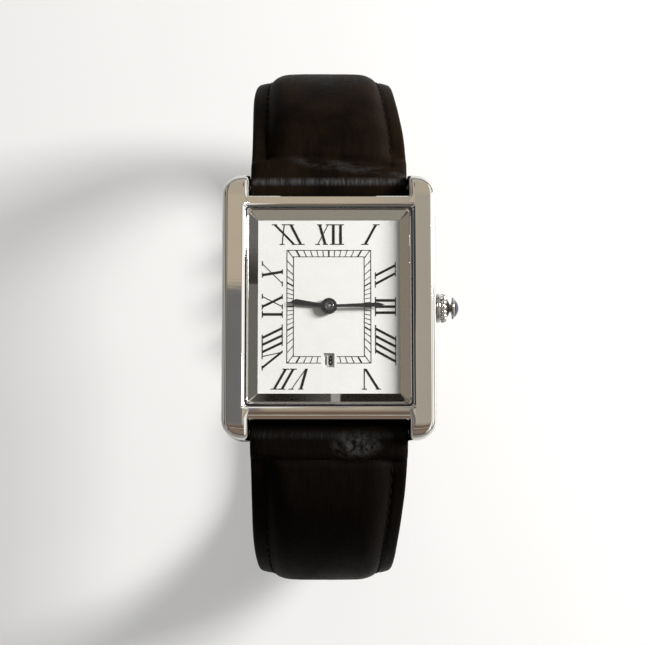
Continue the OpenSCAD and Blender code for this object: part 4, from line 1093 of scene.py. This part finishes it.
class WATCH_OT_crystal(bpy.types.Operator):
    """Builds the crystal with its polished chamfer, its gasket and the sloped ring below"""

    bl_idname = "watch.crystal"
    bl_label = "Crystal"

    def ring(self, name, node, finish, slot, angle, steps, loop=True):
        """A piece that runs round the dial, from half sizes, corner radii and heights."""
        obj = loft(name, [rounded_ring(*step) for step in steps], loop)
        smooth(obj, angle)
        even_normals(obj, 90)
        piece(obj, finish, "root", slot, node)

    def execute(self, context):
        self.ring("clear_crystal", "crystal", "crystal_glass", "crystal_glass", 60, (
            (11.75, 14.1, 0.4, 6.35), (11.82, 14.17, 0.42, 6.35), (11.9, 14.25, 0.45, 6.43),
            (11.9, 14.25, 0.45, 7.15), (11.88, 14.23, 0.45, 7.2), (11.66, 14.01, 0.42, 7.43),
            (11.61, 13.96, 0.4, 7.45), (11.5, 13.85, 0.4, 7.45),
        ), loop=False)
        self.ring("crystal_seal", "crystal_gasket", "black_rubber", "black_rubber", 60, (
            (12.14, 14.49, 0.6, 6.31), (12.14, 14.49, 0.6, 6.7), (12.06, 14.41, 0.56, 6.76),
            (11.98, 14.33, 0.54, 6.76), (11.91, 14.26, 0.51, 6.7), (11.91, 14.26, 0.51, 6.31),
        ))
        self.ring("mirror_flange", "flange_ring", "flange", "case_steel", 20, (
            (11.8, 14.15, 0.4, 5.12), (10.3, 12.65, 0.0, 5.12), (10.31, 12.66, 0.01, 5.16),
            (11.74, 14.09, 0.35, 5.74), (11.76, 14.11, 0.37, 6.3), (11.84, 14.18, 0.45, 6.3),
            (11.84, 14.18, 0.45, 5.92),
        ))
        return {"FINISHED"}


class WATCH_OT_dial(bpy.types.Operator):
    """Builds the lacquered dial with its softened date window"""

    bl_idname = "watch.dial"
    bl_label = "Dial"

    def execute(self, context):
        rounded_copy("dial", "lacquered_dial", 0.06, "root", "dial_enamel")
        return {"FINISHED"}


class WATCH_OT_date(bpy.types.Operator):
    """Prints the numbers 1 to 31 on the date ring, with 18 in the window"""

    bl_idname = "watch.date"
    bl_label = "Date"

    def execute(self, context):
        height = context.scene.watch_dial.date_height
        bm = bmesh.new()
        for number in range(1, DATES + 1):
            text = bpy.data.curves.new("date", "FONT")
            text.body = str(number)
            text.align_x = "CENTER"
            text.offset = 0.025
            text.resolution_u = 3
            holder = new_object("date", text)
            mesh = evaluated(holder)
            xs, ys = [v.co.x for v in mesh.vertices], [v.co.y for v in mesh.vertices]
            middle = Vector((-(min(xs) + max(xs)) / 2, -(min(ys) + max(ys)) / 2, 0))
            k = height / (max(ys) - min(ys))
            turn = math.radians((number - DATE_SHOWN) * 360 / DATES)
            mesh.transform(
                Matrix.Rotation(turn, 4, "Z")
                @ Matrix.Translation((0, -DATE_R * MM, (RING_TOP + 0.02) * MM))
                @ Matrix.Diagonal((k * 0.7, k, 1, 1))
                @ Matrix.Translation(middle)
            )
            bm.from_mesh(mesh)
            bpy.data.objects.remove(holder)
            bpy.data.curves.remove(text)
            bpy.data.meshes.remove(mesh)
        bmesh.ops.recalc_face_normals(bm, faces=bm.faces)
        for face in bm.faces:
            if face.normal.z < 0:
                face.normal_flip()
        piece(made_from("date_numbers", bm), "dial_ink", "date_ring", "dial_ink")
        return {"FINISHED"}


class WATCH_OT_hands(bpy.types.Operator):
    """Builds the blued hands, and the hub with its cap and pin"""

    bl_idname = "watch.hands"
    bl_label = "Hands"

    def execute(self, context):
        rounded_copy("hour_hand", "blued_hour_hand", 0.045, "hour", "blued_steel")
        rounded_copy("minute_hand", "blued_minute_hand", 0.045, "minute", "blued_steel")
        cap = (
            (6.08, 0.2), (6.125, 0.22), (6.125, 0.44), (6.18, 0.5), (6.19, 0.62), (6.15, 0.68),
            (6.0, 0.69),
        )
        pin = ((6.2, 0.0), (6.2, 0.1), (6.18, 0.17), (6.14, 0.21), (6.0, 0.21))
        for name, profile in (("hub_cap", cap), ("hub_pin", pin)):
            hub = turned(name, profile, 40)
            smooth(hub, 50)
            piece(hub, name, "minute", "blued_steel")
        return {"FINISHED"}


class WATCH_OT_crown(bpy.types.Operator):
    """Builds the beaded crown with its collet and blue cabochon"""

    bl_idname = "watch.crown"
    bl_label = "Crown"

    def execute(self, context):
        settings = context.scene.watch_crown
        foot = (CROWN_X, 0, STEM_Z)
        profile = (
            (1.05, 0.0), (1.05, 1.06), (0.0, 1.06), (0.0, 1.9), (0.05, 2.06), (0.13, 2.15),
            (0.42, 2.15), (0.5, 2.12), (0.55, 2.04), (0.57, 1.86), (0.62, 1.76), (0.68, 1.78),
            (0.74, 1.9), (0.86, 1.93), (1.1, 1.82), (1.4, 1.6), (1.65, 1.36), (1.8, 1.12),
            (1.9, 0.86), (1.98, 0.66), (2.08, 0.58), (2.18, 0.62), (2.24, 0.8), (2.28, 1.2),
            (2.33, 1.5), (2.4, 1.6), (2.5, 1.62), (2.58, 1.58), (2.64, 1.48), (2.66, 1.4),
            (2.58, 1.3), (2.55, 0.0),
        )
        body = turned("beaded_crown", profile, 72, foot, along_x=True)
        smooth(body, 50)
        sizes = {
            "Beads": settings.beads,
            "Ring radius": 1.72 * MM,
            "Ring place": (CROWN_X + 1.16) * MM,
            "Axis height": STEM_Z * MM,
            "Bead length": 1.05 * MM,
            "Bead width": settings.bead_width,
            "Lean": 0.62,
        }
        run_tree(body, bead_tree(finishes["crown"]), sizes)
        piece(body, "crown", "crown_stem", "case_steel", "crown")
        dome_r, top, wide = 1.72, 3.32, 54.5
        turns = [math.radians(mix(wide, 0.0, i / 14)) for i in range(15)]
        dome = [(top - dome_r * (1 - math.cos(a)), dome_r * math.sin(a)) for a in turns]
        stone = turned("blue_stone", [(2.56, 0.0), (2.56, 1.38)] + dome, 56, foot, along_x=True)
        smooth(stone, 45)
        piece(stone, "blue_cabochon", "crown_stem", "blue_cabochon", "crown_cabochon")
        return {"FINISHED"}


class WATCH_OT_strap(bpy.types.Operator):
    """Builds both padded strap halves with their linings, creases, holes and stitches"""

    bl_idname = "watch.strap"
    bl_label = "Strap"

    def bore(self, r, y, z):
        """A bore through the strap's width, to cut with."""
        return rod(r, (-STRAP_W, y, z), (STRAP_W, y, z))

    def holes(self):
        """The tang's long hole and the spare holes beyond it."""
        slot_y = BUCKLE_Y - SLOT_L - 0.2 + (SLOT_L + 1) / 2
        punched = [BUCKLE_Y - 1.6 + i * HOLE_STEP for i in (1, 2, 3)]
        return [block((2 * HOLE_R, SLOT_L + 1, 12), (0, slot_y, -LOOP_DEPTH - 2))] + [
            rod(HOLE_R, (0, y, -LOOP_DEPTH - 8), (0, y, -LOOP_DEPTH - 0.5), 32) for y in punched
        ]

    def stitches(self, name, settings, side):
        """The seam's stitches, on lines whose points carry the outward direction."""
        bm = bmesh.new()
        layer = bm.verts.layers.float_vector.new("outward")
        for line in seam_lines(side):
            previous = None
            for point, outward in line:
                vert = bm.verts.new(Vector(point) * MM)
                vert[layer] = Vector(outward)
                if previous:
                    bm.edges.new((previous, vert))
                previous = vert
        seam = made_from(name + "_stitches", bm)
        sizes = {
            "Pitch": settings.pitch,
            "Stitch length": settings.stitch,
            "Thread width": settings.thread,
        }
        run_tree(seam, self.tree, sizes)
        piece(seam, "thread", "root", "black_leather")

    def half(self, settings, side, name, node, lining_node):
        """One half: the leather, the lining under it and the stitches on it."""
        outer = loft(name, leather_rings(side))
        cutters = [self.bore(BAR_BORE_R, side * SPRING_BAR[0], SPRING_BAR[1])]
        if side < 0:
            cutters += self.holes()
        else:
            cutters.append(self.bore(BUCKLE_BORE_R, BUCKLE_Y, BUCKLE_Z))
            cutters.append(block((TONGUE_GAP, 5.6, 8), (0, BUCKLE_Y - 1.2, BUCKLE_Z)))
        cut(outer, cutters)
        smooth(outer, 40)
        piece(outer, "black_leather", "root", "black_leather", node)
        lining = loft(name + "_lining", lining_rings(side))
        if side < 0:
            cut(lining, self.holes())
        smooth(lining, 40)
        piece(lining, "lining_leather", "root", "lining_leather", lining_node)
        self.stitches(name, settings, side)

    def execute(self, context):
        settings = context.scene.watch_strap
        self.tree = stitch_tree(finishes["thread"])
        self.half(settings, 1, "strap_at_twelve", "strap_12_leather", "strap_12_lining")
        self.half(settings, -1, "strap_at_six", "strap_6_leather", "strap_6_lining")
        return {"FINISHED"}


class WATCH_OT_keepers(bpy.types.Operator):
    """Builds the two leather keepers"""

    bl_idname = "watch.keepers"
    bl_label = "Keepers"

    def keeper(self, name, node, body):
        """A loop of leather with a pressed line near each edge, as long as its CAD node."""
        low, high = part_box(node)
        y0, y1 = low[1] / MM, high[1] / MM
        r = KEEPER_CORNER
        x1, z0, z1 = KEEPER_IN + KEEPER_T - r, LOW_Z + r, KEEPER_TOP + KEEPER_T - r
        path = []
        for cx, cz, start in ((x1, z1, 90), (x1, z0, 0), (-x1, z0, -90), (-x1, z1, -180)):
            for i in range(7):
                a = math.radians(start - 15 * i)
                path.append((cx + r * math.cos(a), cz + r * math.sin(a), math.cos(a), math.sin(a)))
        section = (
            (y0, 0.30), (y0 + 0.08, 0.10), (y0 + 0.3, 0.0), (y0 + 0.75, 0.0), (y0 + 0.9, 0.06),
            (y0 + 1.05, 0.0), ((y0 + y1) / 2, 0.0), (y1 - 1.05, 0.0), (y1 - 0.9, 0.06),
            (y1 - 0.75, 0.0), (y1 - 0.3, 0.0), (y1 - 0.08, 0.10), (y1, 0.30),
            (y1, KEEPER_T - 0.2), (y1 - 0.2, KEEPER_T), (y0 + 0.2, KEEPER_T), (y0, KEEPER_T - 0.2),
        )
        rings = []
        for i, p in enumerate(path):
            q = path[(i + 1) % len(path)]
            steps = max(1, int(math.hypot(q[0] - p[0], q[1] - p[1]) / 0.8))
            for k in range(steps):
                x, z, nx, nz = (mix(a, b, k / steps) for a, b in zip(p, q))
                n = Vector((nx, nz)).normalized()
                rings.append([(x - n.x * depth, y, z - n.y * depth) for y, depth in section])
        obj = loft(name, rings, loop=True)
        smooth(obj, 50)
        piece(obj, "black_leather", body, "black_leather", node)

    def execute(self, context):
        self.keeper("sewn_fixed_keeper", "fixed_keeper", "root")
        self.keeper("sliding_keeper", "free_keeper", "free_keeper")
        return {"FINISHED"}


class WATCH_OT_buckle(bpy.types.Operator):
    """Builds the polished buckle, its tang and its bar"""

    bl_idname = "watch.buckle"
    bl_label = "Buckle"

    def execute(self, context):
        rounded_copy(
            "buckle_frame", "polished_buckle", 0.3, "buckle_frame", "case_steel", segments=4
        )
        rounded_copy("buckle_tang", "polished_tang", 0.16, "buckle_tang", "case_steel")
        rounded_copy("buckle_bar", "turned_buckle_bar", 0.08, "root", "movement_steel")
        return {"FINISHED"}


class WATCH_OT_movement(bpy.types.Operator):
    """Rounds the edges of the movement's larger pieces and the spring bars"""

    bl_idname = "watch.movement"
    bl_label = "Movement"

    def execute(self, context):
        record = frame["record"]
        owner = {n: b for b, nodes in record["behaviour"]["bodies"].items() for n in nodes}
        for part in record["subparts"]:
            node, slot = part["node"], part["material_slot"]
            if node in ROUNDED:
                rounded_copy(node, "finished_" + node, 0.06, owner[node], slot, segments=2)
        return {"FINISHED"}


class WATCH_OT_stage(bpy.types.Operator):
    """Sets the floor, the lamps, the world and the camera"""

    bl_idname = "watch.stage"
    bl_label = "Stage"

    def lamp(self, name, spot, size, power, mirrored=False):
        """A soft lamp that points at the watch."""
        light = bpy.data.lights.new(name, "AREA")
        light.shape = "RECTANGLE"
        light.size, light.size_y = size
        light.energy = power
        obj = new_object(name, light)
        obj.location = spot
        aim = Vector((0, 0, -0.01)) - Vector(spot)
        obj.rotation_euler = aim.to_track_quat("-Z", "Y").to_euler()
        obj.visible_glossy = mirrored

    def world(self):
        """The room that the polished faces mirror, which the camera and the glass see as plain
        pale sky. Bands of the direction's x, y or z become walls, cards and a window."""
        world = bpy.data.worlds.new("Soft studio")
        bpy.context.scene.world = world
        world.use_nodes = True
        net = Nodes(world.node_tree)
        net.tree.nodes.clear()
        blend, product = net.blend, net.product
        direction = net.add("ShaderNodeTexCoord").outputs["Generated"]
        x, y, z = net.add("ShaderNodeSeparateXYZ", None, direction).outputs
        path = net.add("ShaderNodeLightPath").outputs

        def rise(value, a, b):
            return net.span(value, 0.0, 1.0, a, b, "SMOOTHSTEP")

        def fall(value, a, b):
            return net.span(value, 1.0, 0.0, a, b, "SMOOTHSTEP")

        def band(value, a, b, c, d):
            return product(rise(value, a, b), fall(value, c, d))

        def below(colour, value, *steps):
            """Each step's colour lies over the last one's, below the step's two limits."""
            for a, b, under in steps:
                colour = blend(rise(value, a, b), under, colour)
            return colour

        # A bright wall to the right, and to the left a dark band in a warm one
        room = blend(rise(x, -0.16, 0.42), (0.12, 0.115, 0.11), (1.5, 1.48, 1.44))
        room = below(
            room, x, (-0.6, -0.56, (0.6, 0.52, 0.43)), (-0.735, -0.72, (0.07, 0.07, 0.07)),
            (-0.92, -0.88, (0.8, 0.79, 0.77)),
        )
        # Halfway up on the right, a grey card with a dark streak
        shade = band(y, 0.1345, 0.1355, 0.138, 0.162)
        east = blend(shade, (0.36, 0.35, 0.34), (0.06, 0.06, 0.06))
        room = blend(band(x, 0.6, 0.62, 0.71, 0.73), room, east)

        # Toward twelve, a warm wall with a dark window that has a block of light in it
        black = (0.003, 0.003, 0.003)
        window = blend(rise(x, -0.02, 0.005), black, (0.15, 0.147, 0.14))
        window = blend(fall(x, -0.04, -0.03), window, (0.2, 0.19, 0.18))
        window = blend(rise(x, 0.0098, 0.0105), window, black)
        block_of_light = band(x, 0.0045, 0.0052, 0.0098, 0.0105)
        window = blend(block_of_light, window, (0.85, 0.83, 0.8))
        frame_of_window = product(
            band(x, -0.0445, -0.0425, 0.0465, 0.0485), band(y, 0.66, 0.69, 0.8, 0.83)
        )
        north = blend(rise(y, 0.82, 0.92), (0.6, 0.53, 0.42), (0.62, 0.59, 0.55))
        north = blend(frame_of_window, north, window)
        ahead = fall(net.math("ABSOLUTE", x), 0.3, 0.45)
        room = blend(product(ahead, rise(y, 0.15, 0.35)), room, north)

        # Toward six, a warm wall with a light strip
        south = below(
            (0.34, 0.27, 0.23), y, (-0.43, -0.41, (0.27, 0.195, 0.155)),
            (-0.47, -0.455, (0.2, 0.145, 0.11)), (-0.549, -0.546, (0.72, 0.68, 0.6)),
            (-0.567, -0.564, (0.25, 0.18, 0.14)), (-0.65, -0.64, (0.29, 0.22, 0.18)),
            (-0.86, -0.8, (0.14, 0.13, 0.12)),
        )
        room = blend(product(ahead, fall(y, -0.3, -0.12)), room, south)

        # Overhead, a warm ceiling with a grey card. Low down, a grey band over a pale ground.
        ceiling = blend(rise(x, 0.02, 0.06), (0.66, 0.575, 0.445), (0.52, 0.48, 0.41))
        card = product(fall(x, -0.037, -0.034), fall(y, 0.1332, 0.1344))
        room = blend(rise(z, 0.87, 0.95), room, blend(card, ceiling, (0.21, 0.21, 0.215)))
        room = blend(rise(z, 0.3, 0.22), room, (0.36, 0.35, 0.33))
        room = blend(rise(z, 0.04, -0.04), room, (0.8, 0.79, 0.77))
        seen = blend(path["Is Glossy Ray"], (0.12, 0.119, 0.117), room)
        seen = blend(path["Is Transmission Ray"], seen, (0.9, 0.9, 0.89))
        seen = blend(path["Is Camera Ray"], seen, SKY)
        light = net.add("ShaderNodeBackground", None, seen, 1.0)
        net.add("ShaderNodeOutputWorld", None, light)

    def floor(self, colour):
        """A pale floor that fades into the sky far off, and is clear from below."""
        bm = bmesh.new()
        bmesh.ops.create_circle(bm, cap_ends=True, segments=96, radius=1.6)
        bm.transform(Matrix.Translation((0, 0, (LOW_Z - 0.02) * MM)))
        floor = made_from("floor", bm)
        f = Finish("Pale floor", Roughness=0.9, Specular_IOR_Level=0.0)
        tone = f.blend(f.span(f.noise(60), 0, 1), scaled(colour, 0.99), colour)
        f.feed(f.shader.inputs["Base Color"], tone)
        far = f.product(
            f.span(f.vector("LENGTH", f.place), 0.4, 1.0, 0.14, 0.42),
            f.add("ShaderNodeLightPath").outputs["Is Camera Ray"],
        )
        pale = f.add("ShaderNodeEmission", None, (*SKY, 1.0), 1.0)
        fade = f.add("ShaderNodeMixShader", None, far, f.shader, pale)
        under = f.add("ShaderNodeNewGeometry").outputs["Backfacing"]
        clear = f.add("ShaderNodeBsdfTransparent")
        f.surface(f.add("ShaderNodeMixShader", None, under, fade, clear))
        floor.data.materials.append(f.material)
        floor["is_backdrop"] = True

    def camera(self):
        """The camera in front of the dial, a little toward six as in the photograph."""
        camera = bpy.data.cameras.new("camera")
        camera.lens = CAMERA_LENS
        camera.sensor_width = 36.0
        camera.clip_start = 0.01
        camera.clip_end = 10
        obj = new_object("camera", camera)
        tilt = math.radians(CAMERA_TILT)
        back = Vector((0, -math.sin(tilt), math.cos(tilt)))
        obj.location = Vector(CAMERA_AIM) * MM + back * CAMERA_REACH
        obj.rotation_euler = (tilt, 0, 0)
        bpy.context.scene.camera = obj

    def execute(self, context):
        settings = context.scene.watch_stage
        context.scene.view_settings.view_transform = "Standard"
        self.floor(tuple(settings.floor))
        self.world()
        self.lamp("key", (0.39, 0.13, 0.22), (0.12, 0.17), settings.key, True)
        self.lamp("fill", (-0.3, 0.22, 0.36), (0.3, 0.3), settings.fill)
        self.lamp("strip", (0.0, 0.2, 0.42), (0.4, 0.05), settings.fill * 0.6)
        self.lamp("low fill", (0.02, -0.42, 0.3), (0.36, 0.2), settings.fill * 0.3)
        self.camera()
        return {"FINISHED"}


STEPS = (
    WATCH_OT_stage, WATCH_OT_finishes, WATCH_OT_case, WATCH_OT_crystal, WATCH_OT_dial,
    WATCH_OT_date, WATCH_OT_hands, WATCH_OT_crown, WATCH_OT_strap, WATCH_OT_keepers,
    WATCH_OT_buckle, WATCH_OT_movement,
)


class WATCH_PT_panel(bpy.types.Panel):
    """Lists the watch's settings and the steps that build it"""

    bl_idname = "WATCH_PT_panel"
    bl_label = "Dress Watch"
    bl_space_type = "VIEW_3D"
    bl_region_type = "UI"
    bl_category = "Watch"

    def draw(self, context):
        for group in GROUPS:
            settings = getattr(context.scene, group)
            box = self.layout.box()
            for key in settings.__annotations__:
                box.prop(settings, key)
        for step in STEPS:
            self.layout.operator(step.bl_idname)


GROUPS = {
    "watch_case": WatchCaseSettings,
    "watch_dial": WatchDialSettings,
    "watch_crown": WatchCrownSettings,
    "watch_strap": WatchStrapSettings,
    "watch_stage": WatchStageSettings,
}


def register():
    for kind in (*GROUPS.values(), *STEPS, WATCH_PT_panel):
        bpy.utils.register_class(kind)
    for name, kind in GROUPS.items():
        setattr(bpy.types.Scene, name, PointerProperty(type=kind))


def unregister():
    for name in GROUPS:
        delattr(bpy.types.Scene, name)
    for kind in reversed((*GROUPS.values(), *STEPS, WATCH_PT_panel)):
        bpy.utils.unregister_class(kind)


def main():
    register()
    for step in STEPS:
        group, name = step.bl_idname.split(".")
        getattr(getattr(bpy.ops, group), name)()
    boxes = {"cad": cad_box, "visual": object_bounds()}
    plain = {k: [[float(n) for n in corner] for corner in v] for k, v in boxes.items()}


if __name__ == "__main__":
    main()
